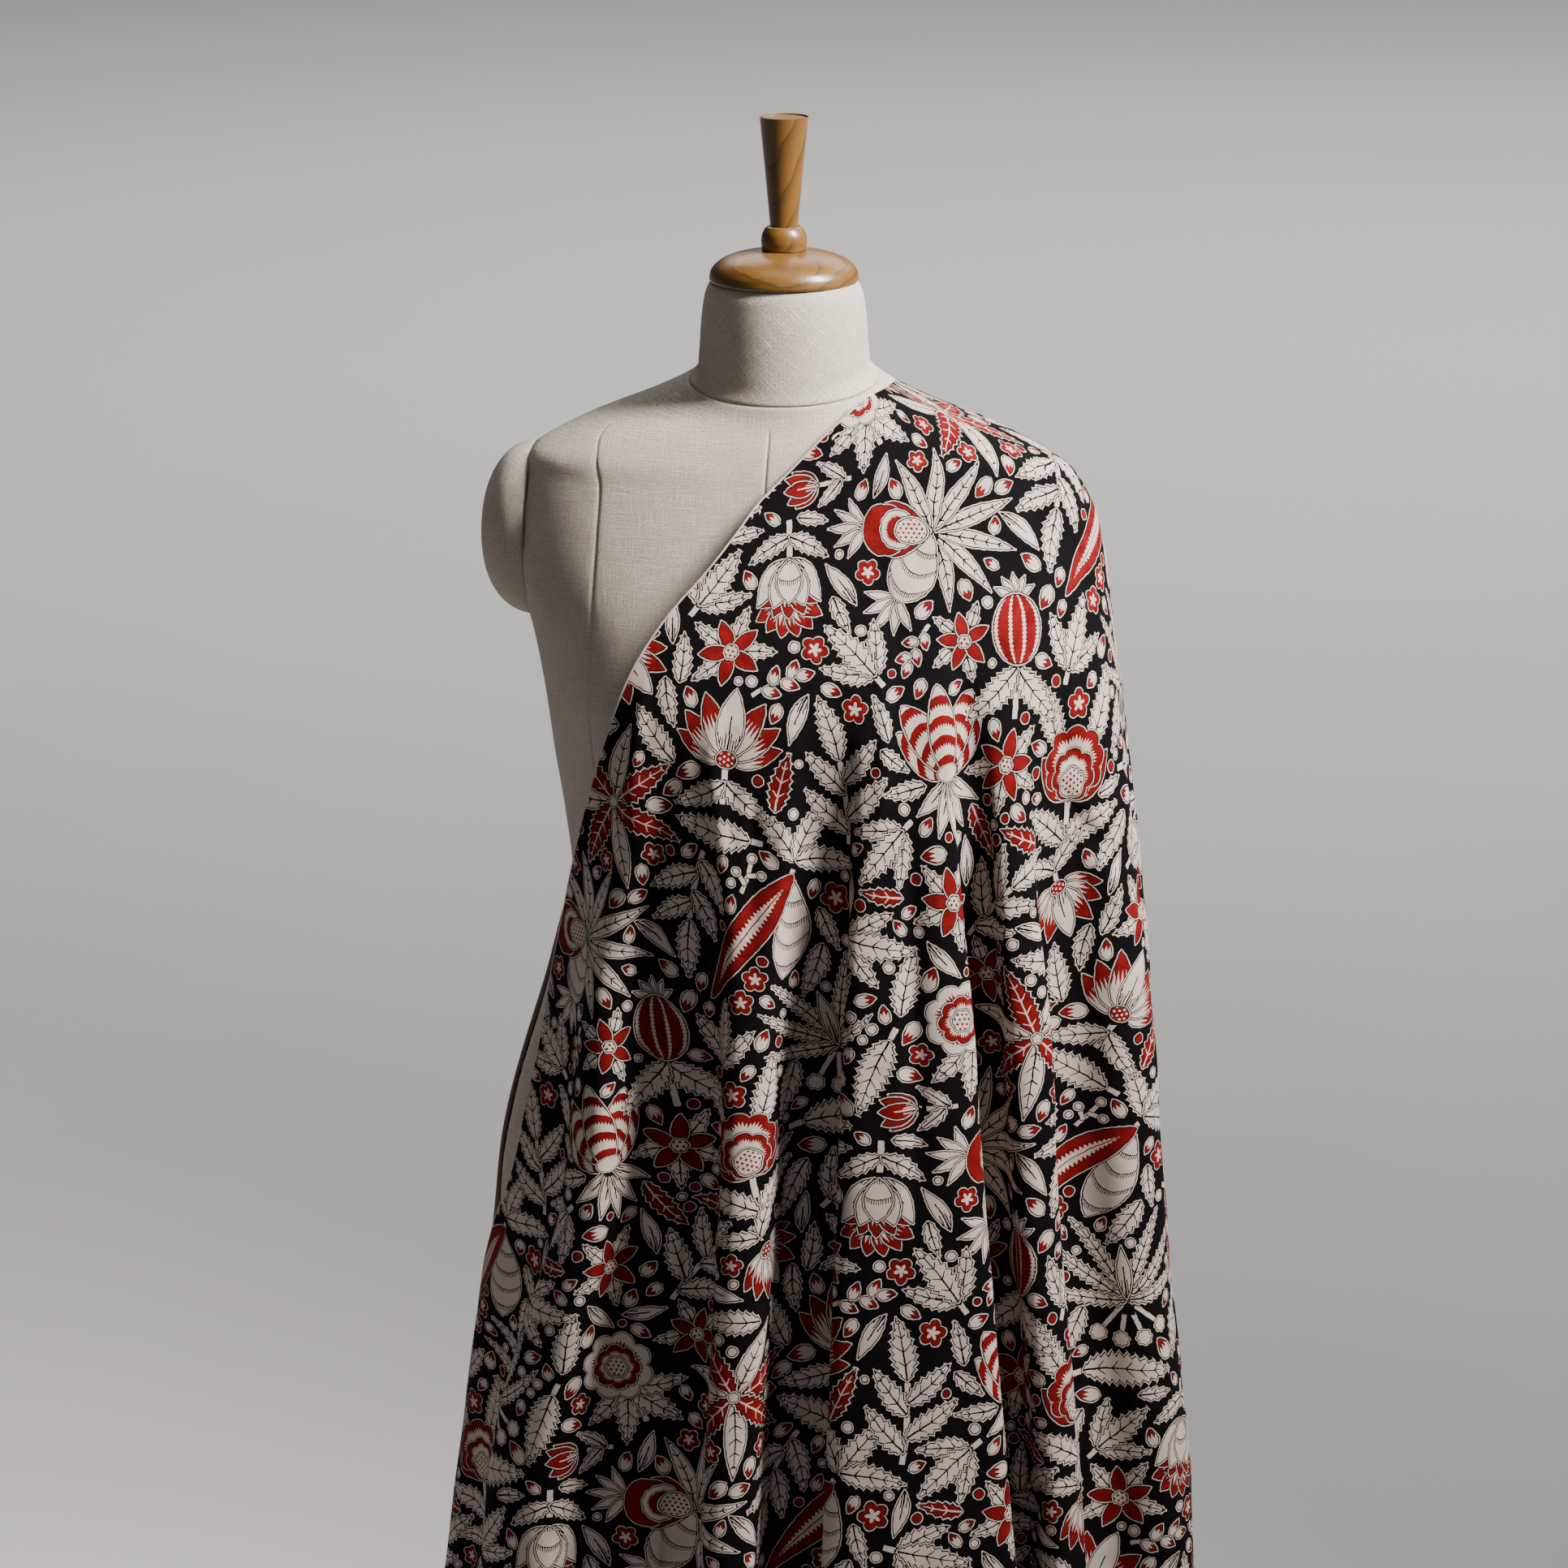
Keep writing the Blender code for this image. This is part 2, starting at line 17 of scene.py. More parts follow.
import bpy
import numpy as np
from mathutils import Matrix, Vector


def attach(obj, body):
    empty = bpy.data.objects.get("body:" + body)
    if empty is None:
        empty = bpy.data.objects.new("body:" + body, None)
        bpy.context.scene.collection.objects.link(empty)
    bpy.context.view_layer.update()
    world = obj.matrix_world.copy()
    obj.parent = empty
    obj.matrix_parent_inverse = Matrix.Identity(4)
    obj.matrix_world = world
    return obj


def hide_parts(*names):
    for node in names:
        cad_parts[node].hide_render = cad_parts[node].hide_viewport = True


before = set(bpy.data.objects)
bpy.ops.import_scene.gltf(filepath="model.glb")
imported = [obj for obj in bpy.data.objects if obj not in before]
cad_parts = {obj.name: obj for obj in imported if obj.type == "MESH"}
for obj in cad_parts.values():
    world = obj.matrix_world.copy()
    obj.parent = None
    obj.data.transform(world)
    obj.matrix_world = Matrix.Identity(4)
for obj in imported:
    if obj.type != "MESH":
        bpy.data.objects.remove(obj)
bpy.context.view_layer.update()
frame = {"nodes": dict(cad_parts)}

log = logging.getLogger("dress_form")

Array = np.ndarray
Colour = tuple[float, float, float]
Value = Any

DRAPE_TURN = 9.5


class Section(NamedTuple):
    """One outline of the form: height, half width, depths and squareness."""

    height: float
    half: float
    front: float
    back: float
    square: float


class Drape(NamedTuple):
    """One outline of the hanging cloth: its reach to the four sides and its squareness."""

    height: float
    right: float
    left: float
    front: float
    back: float
    square: float


class Edge(NamedTuple):
    """The angles of the cloth's front and back edge at a height."""

    height: float
    front: float
    back: float


class Fold(NamedTuple):
    """A ridge or valley: angles at waist and hem, depth at the hem, where it starts, overhang."""

    name: str
    waist: float
    hem: float
    depth: float
    start: float
    overlap: float


class Crease(NamedTuple):
    """A soft trough or ridge between two places on the cloth; a depth over 0 stands out."""

    angle: float
    height: float
    to_angle: float
    to_height: float
    width: float
    depth: float


class Turned(NamedTuple):
    """One point of a turned profile; a corner keeps its edge."""

    radius: float
    height: float
    corner: bool = False


def cubic(t: Array, low: Array, high: Array, low_slope: Array, high_slope: Array) -> Array:
    """Return the cubic through two values with the given slopes, as t goes from 0 to 1."""
    return ((2 * t ** 3 - 3 * t ** 2 + 1) * low + (t ** 3 - 2 * t ** 2 + t) * low_slope
            + (3 * t ** 2 - 2 * t ** 3) * high + (t ** 3 - t ** 2) * high_slope)


def values_of(rows: Sequence[Any], name: str) -> Array:
    """Return one column of a table."""
    return np.array([getattr(row, name) for row in rows])


def along(rows: Sequence[Any], name: str, heights: Value) -> Array:
    """Read one column of a table at any heights, on a cubic through its rows.

    Args:
        rows: the table, with a height in each row.
        name: the column.
        heights: where to read it, of any shape.

    Returns:
        The values, in the shape of the heights.
    """
    rows = sorted(rows, key=lambda row: row.height)
    at, value = values_of(rows, "height"), values_of(rows, name)
    slope = np.gradient(value, at)
    heights = np.clip(np.asarray(heights, dtype=float), at[0], at[-1])
    low = np.clip(np.searchsorted(at, heights, side="right") - 1, 0, len(at) - 2)
    step = at[low + 1] - at[low]
    return cubic((heights - at[low]) / step, value[low], value[low + 1], step * slope[low],
                 step * slope[low + 1])


def outline(angle: Array, right: Value, left: Value, front: Value, back: Value,
            square: Value) -> Array:
    """Return an outline's reach: (|sin a / across|^s + |cos a / deep|^s)^(-1/s).

    Args:
        angle: where, in radians.
        right, left, front, back, square: the reach to the four sides, and s.
    """
    across = np.where(np.sin(angle) >= 0, right, left)
    deep = np.where(np.cos(angle) >= 0, front, back)
    return (np.abs(np.sin(angle) / across) ** square
            + np.abs(np.cos(angle) / deep) ** square) ** (-1.0 / square)


def ease(t: Value) -> Array:
    """Return the smooth rise 3t^2 - 2t^3 as t goes from 0 to 1."""
    t = np.clip(t, 0.0, 1.0)
    return t * t * (3.0 - 2.0 * t)


def smooth_max(one: Array, other: Array, blend: float = 0.0025) -> Array:
    """Return the larger value, rounded where they are close: a + d + sqrt(d^2 + blend^2)."""
    over = 0.5 * (other - one)
    return one + over + np.sqrt(over ** 2 + blend ** 2)


def hump(distance: Array, width: float) -> Array:
    """Return 1 at a distance of 0, falling to both sides as e^-(distance / width)^2."""
    return np.exp(-(distance / width) ** 2)


def rotated(x: Value, y: Value, turn: Value) -> tuple[Value, Value]:
    """Return a place turned round the origin by an angle in radians."""
    c, s = np.cos(turn), np.sin(turn)
    return x * c - y * s, x * s + y * c


def fraction(a: Value) -> Value:
    """Return the part of a value after the point."""
    return a - np.floor(a)


def zigzag(a: Value) -> Value:
    """Return a wave of straight flanks between 0 and 1, with period 1."""
    return 2.0 * np.abs(fraction(a) - 0.5)


def same(a: Value, code: float) -> Value:
    """Return 1 where a code is the given one, else 0."""
    return np.less(np.abs(a - code), 0.5)


def threads(x: Value, y: Value, pitch: float) -> Value:
    """Return the height of crossing threads: sin(2 pi x / pitch) sin(2 pi y / pitch)."""
    return np.sin(x * (2.0 * math.pi / pitch)) * np.sin(y * (2.0 * math.pi / pitch))


OPERATIONS = {
    "add": "ADD", "subtract": "SUBTRACT", "multiply": "MULTIPLY", "divide": "DIVIDE",
    "true_divide": "DIVIDE", "power": "POWER", "sin": "SINE", "cos": "COSINE",
    "arctan2": "ARCTAN2", "minimum": "MINIMUM", "maximum": "MAXIMUM", "absolute": "ABSOLUTE",
    "floor": "FLOOR", "sqrt": "SQRT", "less": "LESS_THAN", "greater": "GREATER_THAN",
}


class Wire(np.lib.mixins.NDArrayOperatorsMixin):
    """A number that the shader works out, which numpy's formulas take like an array."""

    def __init__(self, graph: Graph, socket: bpy.types.NodeSocket) -> None:
        """Keep the graph and the socket that gives the number."""
        self.graph = graph
        self.socket = socket

    def __array_ufunc__(self, ufunc: Any, method: str, *inputs: Any, **options: Any) -> Wire:
        """Add the math node that stands for a numpy function."""
        graph = next(item.graph for item in inputs if isinstance(item, Wire))
        return graph.math(OPERATIONS[ufunc.__name__], *inputs)


class Graph:
    """A node tree that is filled by formulas."""

    def __init__(self, tree: bpy.types.NodeTree) -> None:
        """Keep the tree."""
        self.tree = tree

    def feed(self, socket: bpy.types.NodeSocket, value: Value) -> None:
        """Link a wire to a socket, or set the socket's own value.

        Args:
            socket: the input.
            value: a wire or a plain value.
        """
        if isinstance(value, Wire):
            self.tree.links.new(value.socket, socket)
        else:
            socket.default_value = value

    def node(self, kind: str, inputs: dict[Any, Value], output: Any = 0, **settings: Any) -> Wire:
        """Add a node.

        Args:
            kind: the node's type.
            inputs: values or wires by socket name or number.
            output: the output that is wanted.
            settings: the node's own options.

        Returns:
            The wire of that output.
        """
        made = self.tree.nodes.new(kind)
        for name, value in settings.items():
            setattr(made, name, value)
        for name, value in inputs.items():
            self.feed(made.inputs[name], value)
        return Wire(self, made.outputs[output])

    def math(self, operation: str, *values: Value) -> Wire:
        """Add a math node on plain numbers."""
        return self.node("ShaderNodeMath", dict(enumerate(values)), operation=operation)

    def vector(self, operation: str, *values: Value) -> Wire:
        """Add a math node on vectors."""
        return self.node("ShaderNodeVectorMath", dict(enumerate(values)), operation=operation)

    def split(self, vector: Wire) -> list[Wire]:
        """Return the three parts of a vector."""
        parts = self.node("ShaderNodeSeparateXYZ", {0: vector}).socket.node
        return [Wire(self, parts.outputs[i]) for i in range(3)]

    def join(self, x: Value, y: Value, z: Value = 0.0) -> Wire:
        """Return a vector from its parts."""
        return self.node("ShaderNodeCombineXYZ", {0: x, 1: y, 2: z})

    def surface_point(self, name: str) -> Wire:
        """Return a UV map as a vector."""
        return self.node("ShaderNodeUVMap", {}, uv_map=name)

    def attribute(self, name: str) -> Wire:
        """Return an attribute of the mesh as a vector."""
        return self.node("ShaderNodeAttribute", {}, "Vector", attribute_name=name)

    def noise(self, point: Wire, scale: float, detail: float = 2.0, output: str = "Fac",
              rough: float = 0.5) -> Wire:
        """Return a soft noise between 0 and 1."""
        return self.node("ShaderNodeTexNoise", {"Vector": point, "Scale": scale, "Detail": detail,
                                                "Roughness": rough}, output)

    def mix(self, part: Value, low: Value, high: Value) -> Wire:
        """Return the blend of two colours."""
        colours = {key: value if isinstance(value, Wire) else (*value, 1.0)
                   for key, value in ((6, low), (7, high))}
        return self.node("ShaderNodeMix", {0: part, **colours}, 2, data_type="RGBA")

    def range(self, value: Value, low: float, high: float, to_low: float = 0.0,
              to_high: float = 1.0) -> Wire:
        """Return a value moved from one range to another and held inside it."""
        return self.node("ShaderNodeMapRange", {0: value, 1: low, 2: high, 3: to_low, 4: to_high})

    def scaled(self, vector: Wire, factor: float) -> Wire:
        """Return a vector made longer."""
        return self.node("ShaderNodeVectorMath", {0: vector, "Scale": factor}, operation="SCALE")

    def shade(self, inputs: dict[str, Value]) -> None:
        """Feed the material's shader, by the names of its inputs."""
        for name, value in inputs.items():
            self.feed(self.tree.nodes["Principled BSDF"].inputs[name], value)

    def bump(self, height: Wire, distance: float, below: Wire | None = None) -> Wire:
        """Return a normal from a height.

        Args:
            height: the relief, in units of the distance.
            distance: how high a relief of 1 is, in metres.
            below: a normal that this one lies on.
        """
        inputs = {"Height": height, "Distance": distance, "Strength": 1.0}
        if below is not None:
            inputs["Normal"] = below
        return self.node("ShaderNodeBump", inputs)


def new_material(name: str) -> tuple[bpy.types.Material, Graph]:
    """Return a new material and its graph."""
    material = bpy.data.materials.new(name)
    material.use_nodes = True
    return material, Graph(material.node_tree)


# The print: each leaf, petal, stem and disc is a stamp that the shader draws from a few numbers.

TILE_WIDE, TILE_HIGH = 300.0, 380.0
LINE, HALO, GAP = 0.60, 0.66, 0.55
# A slot without a stamp: its place is far away.
EMPTY = np.array([1.0e5, 0.0, 0.0, 1.0, 0.001, 0.0, 1.0, 1.0, 0.0, 0.0, 0.0, 0.0])
# Steps and sizes of the fine drawing, in mm.
TOOTH_STEP, VEIN_STEP, VEIN_LEAST, HATCH_STEP, DASH_STEP = 4.7, 8.6, 4.7, 1.7, 1.35
BAND_STEP, BAND_WAVE, TIP_WAVE, CORE_WAVE, CORE_LINE = 11.5, 1.9, 2.6, 3.0, 0.36
SEED_STEP, SEED_ROW, SEED_SIZE, RIB_WAVE = 3.4, 2.6, 1.05, 2.4
# Shares of a tooth's step over which it rises and falls, and how teeth and veins lean forward.
TOOTH_RISE, TOOTH_FALL, TOOTH_LEAN, VEIN_LEAN = 0.78, 0.22, 0.3, 0.9
# How far a stamp's drawing may pass its plain outline, in mm.
MARGIN = 3.0


class Ink(IntEnum):
    """The print's three colours."""

    BLACK = 0
    CREAM = 1
    RED = 2


class Mark(IntEnum):
    """What is drawn inside a leaf or petal."""

    PLAIN = 0
    VEINED = 1
    HATCHED = 2
    BANDED = 3
    TIPPED = 4
    CORED = 5
    ROWS = 6


class Drawing(IntEnum):
    """What is drawn inside a disc."""

    PLAIN = 0
    RIBBED = 1
    ROSE = 2
    SEEDED = 3
    STARRED = 4


class Leaf(NamedTuple):
    """A leaf, petal or stem: its foot, direction in degrees, sizes in mm, outline and drawing."""

    x: float
    y: float
    turn: float
    length: float
    half: float
    bend: float = 0.0
    peak: float = 1.0
    blunt: float = 1.0
    teeth: float = 0.0
    body: int = Ink.CREAM
    mark: int = Mark.PLAIN
    pen: int = Ink.BLACK


class Disc(NamedTuple):
    """A round stamp: its middle, direction, radius and stretch, lobes, notches and drawing."""

    x: float
    y: float
    turn: float
    radius: float
    stretch: float = 1.0
    lobes: float = 1.0
    notch: float = 0.0
    sharp: float = 1.0
    spare: float = 0.0
    body: int = Ink.CREAM
    mark: int = Drawing.PLAIN
    pen: int = Ink.BLACK


Stamp = Leaf | Disc


def leaf_ink(x: Value, y: Value, length: Value, half: Value, bend: Value, peak: Value, blunt: Value,
             teeth: Value, body: Value, mark: Value, pen: Value) -> tuple[Value, Value, Value]:
    """Draw a leaf: half width = half sin(pi t^peak)^blunt (1 - notch) about y = bend t^2.

    The notch is a saw: each tooth rises over four fifths of its step and falls back to the tip.

    Args:
        x, y: place in the leaf's own frame, in mm, with x from foot to tip.
        length, half, bend, peak, blunt, teeth, body, mark, pen: the fields of Leaf.

    Returns:
        Depth inside the outline, width of the black line, and the ink's code.
    """
    t = np.minimum(np.maximum(x / length, 0.0), 1.0)
    side = y - bend * t * t
    off = np.abs(side)
    turn = math.pi * t ** peak
    saw = fraction((x + TOOTH_LEAN * off) / TOOTH_STEP)
    rise = np.less(saw, TOOTH_RISE)
    notch = teeth * (1.0 - np.minimum(saw / TOOTH_RISE, (1.0 - saw) / TOOTH_FALL))
    width = half * np.maximum(np.sin(turn), 0.0001) ** blunt * (1.0 - notch)
    slant = 3.0 * half / length * np.cos(turn) + teeth * half * (rise * 1.24 - 0.97)
    depth = np.minimum((width - off) / np.sqrt(1.0 + slant * slant), np.minimum(x, length - x))

    comb = fraction(side / HATCH_STEP)
    rib = np.less(off, 0.62 - 0.40 * t) * np.less(t, 0.86)
    vein = fraction((x - VEIN_LEAN * off) / VEIN_STEP)
    veins = np.less(vein, 0.13 - 0.012 * off) * np.less(off, 0.62 * width)
    veins = veins * np.greater(t, 0.14) * np.greater(half, VEIN_LEAST)
    veined = np.maximum(rib, veins)
    ragged = np.abs(np.sin(5.0 * np.floor(side / HATCH_STEP)))
    hatched = np.maximum(np.less(comb, 0.40) * np.less(t, 0.16 + 0.22 * ragged), rib * np.less(t, 0.62))
    arch = (x + 0.05 * off * off) / BAND_STEP
    banded = np.less(fraction(arch) + 0.20 * zigzag(side / BAND_WAVE), 0.60)
    tipped = np.greater(t, 0.44 + 0.26 * zigzag(side / TIP_WAVE))
    core = (0.22 + 0.26 * zigzag(x / CORE_WAVE)) * width * (1.0 - 5.6 * (t - 0.5) ** 2.0)
    cored = np.less(off, core) * np.greater(off, CORE_LINE)
    row = fraction(arch * 0.86)
    dashes = np.less(row, 0.26) * np.less(fraction(side / DASH_STEP), 0.40)
    rows = np.maximum(np.less(row, 0.05), dashes)
    drawn = (same(mark, Mark.VEINED) * veined + same(mark, Mark.HATCHED) * hatched
             + same(mark, Mark.BANDED) * banded + same(mark, Mark.TIPPED) * tipped
             + same(mark, Mark.CORED) * cored + same(mark, Mark.ROWS) * rows)
    return depth, LINE * np.greater(blunt, 0.1), body + (pen - body) * drawn


def disc_ink(x: Value, y: Value, radius: Value, stretch: Value, lobes: Value, notch: Value,
             sharp: Value, spare: Value, body: Value, mark: Value, pen: Value
             ) -> tuple[Value, Value, Value]:
    """Draw a disc: edge = radius (1 - notch (1 - |cos(lobes a / 2)|^sharp)).

    Args:
        x, y: place in the disc's own frame, in mm.
        radius, stretch, lobes, notch, sharp, spare, body, mark, pen: the fields of Disc.

    Returns:
        Depth inside the outline, width of the black line, and the ink's code.
    """
    run = x / stretch
    r = np.sqrt(run * run + y * y)
    around = np.arctan2(y, run) * lobes * 0.5
    crest = np.abs(np.cos(around)) ** sharp
    dip = np.abs(np.sin(around)) ** sharp
    edge = radius * (1.0 - notch * (1.0 - crest))

    level = run / radius
    meridian = y / (radius * np.sqrt(np.maximum(1.0 - level * level, 0.03)))
    ribbed = np.less(zigzag(meridian * 1.7), 0.13 + 0.20 * zigzag(x / RIB_WAVE))
    outer = r / edge
    inner = r / (radius * (1.0 - notch * (1.0 - dip)))
    ray = zigzag(np.arctan2(y, run) * 7.0)
    rose = np.less(outer, 0.60 + 0.16 * ray) * np.greater(inner, 0.22)
    row = np.floor(y / SEED_ROW)
    beside = np.abs(fraction(x / SEED_STEP + fraction(row * 0.5)) - 0.5) * SEED_STEP
    above = np.abs(fraction(y / SEED_ROW) - 0.5) * SEED_ROW
    seeded = np.less(beside + above, SEED_SIZE) * np.less(outer, 0.86)
    starred = np.less(r, radius * (0.18 + 0.34 * crest * crest))
    drawn = (same(mark, Drawing.RIBBED) * ribbed + same(mark, Drawing.ROSE) * rose
             + same(mark, Drawing.SEEDED) * seeded + same(mark, Drawing.STARRED) * starred)
    return edge - r, LINE * (1.0 + 0.0 * spare), body + (pen - body) * drawn


def stamp_over(cream: Value, red: Value, depth: Value, line: Value, code: Value
               ) -> tuple[Value, Value]:
    """Lay a stamp over the inks below: body, black line, pale halo, then a rim of black ground.

    Args:
        cream, red: how much of either ink lies below.
        depth, line, code: what leaf_ink or disc_ink returned for the stamp.

    Returns:
        The cream and the red with the stamp on top.
    """
    cover = np.greater(depth, -HALO - GAP)
    halo = np.greater(depth, -HALO) * np.less(depth, 0.0)
    body = np.greater(depth, line)
    return (cream + cover * (np.maximum(halo, body * same(code, Ink.CREAM)) - cream),
            red + cover * (body * np.greater(code, 1.5) - red))


def leaf(x: float, y: float, turn: float, length: float, bend: float = 0.0,
         half: float | None = None, **look: Any) -> Leaf:
    """Return a leaf with saw teeth, a midrib and veins."""
    style = {"peak": 0.74, "blunt": 0.85, "teeth": 0.27, "mark": Mark.VEINED} | look
    return Leaf(x, y, turn, length, half or 0.20 * length, bend, **style)


def frond(x: float, y: float, turn: float, length: float, bend: float, half: float = 5.0) -> Leaf:
    """Return a long narrow leaf with deep teeth."""
    return Leaf(x, y, turn, length, half, bend, 0.80, 0.65, 0.36, mark=Mark.VEINED)


def blade(x: float, y: float, turn: float, length: float, bend: float = 0.0, half: float = 4.6,
          **look: Any) -> Leaf:
    """Return a smooth lance-shaped leaf."""
    return Leaf(x, y, turn, length, half, bend, **({"peak": 0.9, "mark": Mark.HATCHED} | look))


def stem(x: float, y: float, turn: float, length: float, bend: float = 0.0,
         half: float = 1.2) -> Leaf:
    """Return a pale stem."""
    return Leaf(x, y, turn, length, half, bend, blunt=0.02)


def petal(x: float, y: float, turn: float, length: float, half: float, bend: float = 0.0,
          peak: float = 0.95, blunt: float = 0.8, **look: Any) -> Leaf:
    """Return a pale petal with a red tip."""
    return Leaf(x, y, turn, length, half, bend, peak, blunt,
                **({"mark": Mark.TIPPED, "pen": Ink.RED} | look))


def bud(x: float, y: float, turn: float, length: float = 12.0) -> Leaf:
    """Return a red bud with a pale foot."""
    return petal(x, y, turn, length, 0.30 * length, 0.0, 0.75, 0.7, mark=Mark.TIPPED)


def berry(x: float, y: float, radius: float, body: int = Ink.CREAM) -> Disc:
    """Return a berry."""
    return Disc(x, y, 0.0, radius, body=body)


def fan(x: float, y: float, turns: Sequence[float], length: float,
        make: Callable[..., Leaf], bend: float = 0.0, **look: Any) -> list[Stamp]:
    """Return leaves from one point; they are shorter and bend more to either side.

    Args:
        x, y, length: the point, and the middle leaf's length.
        turns: the leaves' directions, from one side to the other.
        make, look: leaf or blade, and more fields for it.
        bend: the outermost leaf's bend.
    """
    middle = 0.5 * (turns[0] + turns[-1])
    span = max(abs(turns[0] - middle), 1.0)
    return [make(x, y, turn, length * (1.0 - 0.18 * abs(turn - middle) / span),
                 bend * (turn - middle) / span, **look) for turn in turns]


def pair(make: Callable[[int], Leaf]) -> list[Stamp]:
    """Return the same leaf to the right and to the left."""
    return [make(-1), make(1)]


SEEDS = {"mark": Drawing.SEEDED, "pen": Ink.RED}
RAYS = {"mark": Drawing.ROSE, "pen": Ink.RED}
ARCHES = {"mark": Mark.ROWS, "pen": Ink.BLACK}
HATCHES = {"mark": Mark.HATCHED, "pen": Ink.BLACK}
RED = {"body": Ink.RED, "pen": Ink.CREAM}


def tulip() -> list[Stamp]:
    """Return a palmette of banded petals on a spray of blades."""
    band = RED | {"mark": Mark.BANDED}
    return [*fan(-2, 0, [135, 160, 180, 200, 225], 36, blade, 5.0, half=4.2),
            *pair(lambda s: petal(0, 0, s * 70, 36, 8.5, s * -15, 0.95, 0.62, **band)),
            *pair(lambda s: petal(0, 0, s * 27, 47, 10.0, s * 2, 0.9, 0.6, **band)),
            petal(-1, 0, 0, 50, 9.5, 0, 0.85, 0.6, **band), Disc(0, 0, 0, 8.0, 0.6)]


def rose() -> list[Stamp]:
    """Return a flower of three tiers with scalloped edges, two open petals and leaves."""
    tier = RED | {"mark": Drawing.ROSE}
    return [*pair(lambda s: leaf(12, s * 10, s * 34, 44, s * -5)),
            stem(-44, 0, 0, 30), *pair(lambda s: leaf(-40, 0, s * 52, 40, s * 6)),
            Disc(2, 0, 0, 22, 0.90, 9, 0.15, 0.7, **tier), Disc(-4, 0, 0, 15, 0.92, 7, 0.16, 0.7, **tier),
            Disc(-8, 0, 0, 8.5, 0.95, 5, 0.12, 0.8, **SEEDS),
            *pair(lambda s: petal(-17, 0, s * 58, 34, 8.0, s * -7, 1.0, 0.8, mark=Mark.CORED, **RED))]


def pomegranate() -> list[Stamp]:
    """Return a ribbed red fruit with a small crown above it and leaves below."""
    return [stem(-50, 0, 0, 32), *pair(lambda s: leaf(-22, 0, s * 142, 44, s * -8)),
            *[blade(18, 0, turn, 15, 0, 2.6, mark=Mark.PLAIN) for turn in (-62, -31, 0, 31, 62)],
            Disc(0, 0, 0, 16.5, 1.24, mark=Drawing.RIBBED, **RED)]


def palm() -> list[Stamp]:
    """Return bent fronds from one root, with small flowers hanging below."""
    flowers = [(-20, -20), (-25, -7), (-25, 7), (-20, 20)]
    return [*pair(lambda s: frond(0, 0, s * 20, 60, s * 8)),
            *pair(lambda s: frond(0, 0, s * 58, 58, s * -12)),
            *pair(lambda s: frond(0, 0, s * 96, 48, s * -20)), blade(0, 0, 0, 34, 0, 4.4),
            *[stem(0, 0, math.degrees(math.atan2(y, x)), 0.80 * math.hypot(x, y), 0, 0.75)
              for x, y in flowers],
            *[Disc(x, y, 0, 5.0, 1.0, 8, 0.20, 0.8) for x, y in flowers]]


def fruit_pair() -> list[Stamp]:
    """Return a red seeded fruit and a pale gourd on a fan of seven blades."""
    return [*fan(0, 0, [-84, -56, -28, 0, 28, 56, 84], 60, blade, 12.0, half=5.2, mark=Mark.VEINED),
            *fan(-40, 17, [112, 136, 160, 184, 208], 26, blade, 4.0, half=3.0, mark=Mark.PLAIN),
            *fan(-35, -31, [160, 186, 212, 238, 262], 26, blade, 4.0, half=3.0, mark=Mark.PLAIN),
            petal(0, -1, 222, 48, 15.0, 0, 1.3, 0.6, **ARCHES),
            petal(0, 1, 158, 40, 17.5, 0, 1.3, 0.62, body=Ink.RED, mark=Mark.PLAIN),
            Disc(-28, 11.5, 158, 18.0, 0.82, 2, 0.14, 0.8, body=Ink.RED),
            Disc(-20, 9.0, 158, 12.5, 0.95, 12, 0.05, 0.8, **RAYS),
            Disc(-12, 5.2, 158, 8.2, 1.3, **SEEDS)]


def pod() -> list[Stamp]:
    """Return a long red pod with a toothed pale core, and a pale gourd beside it."""
    return [stem(50, -2, 195, 16, 2),
            *[leaf(56, 0, turn, 42, bend) for turn, bend in ((76, 6), (22, -5), (-38, -5))],
            petal(46, -8, 224, 64, 14.0, -10, 1.25, 0.75, **ARCHES),
            petal(48, -4, 180, 108, 11.5, 12, 0.8, 0.75, mark=Mark.CORED, **RED)]


def lotus() -> list[Stamp]:
    """Return a fan of pale petals with red tips round a seeded heart."""
    return [stem(-26, 0, 0, 26), *pair(lambda s: leaf(-14, 0, s * 132, 36, s * -7)),
            *pair(lambda s: petal(0, 0, s * 84, 34, 6.5, s * -8)),
            *pair(lambda s: petal(0, 0, s * 56, 38, 7.0, s * -3)),
            *pair(lambda s: petal(0, 0, s * 28, 41, 7.5)),
            petal(0, 0, 0, 42, 8.5, **HATCHES),
            Disc(0, 0, 0, 6.5, 0.8, mark=Drawing.SEEDED, **RED)]


def bell() -> list[Stamp]:
    """Return a hanging flower: tiers of red-tipped petals under a pale cup."""
    tiers = [petal(step, 0, (i - 0.5 * (count - 1)) * 25, 24, 5.0, 0, 1.2)
             for step, count in ((26.0, 6), (14.0, 5)) for i in range(count)]
    return [stem(-24, 0, 0, 24), *pair(lambda s: leaf(-14, 0, s * 70, 30, s * -5)), *tiers,
            *pair(lambda s: petal(0, 0, s * 54, 34, 7.0, s * -11, **HATCHES)),
            *pair(lambda s: petal(2, 0, s * 22, 30, 7.5, s * -1, **HATCHES)),
            petal(0, 0, 0, 28, 8.5, 0, 1.0, 0.7, **ARCHES)]


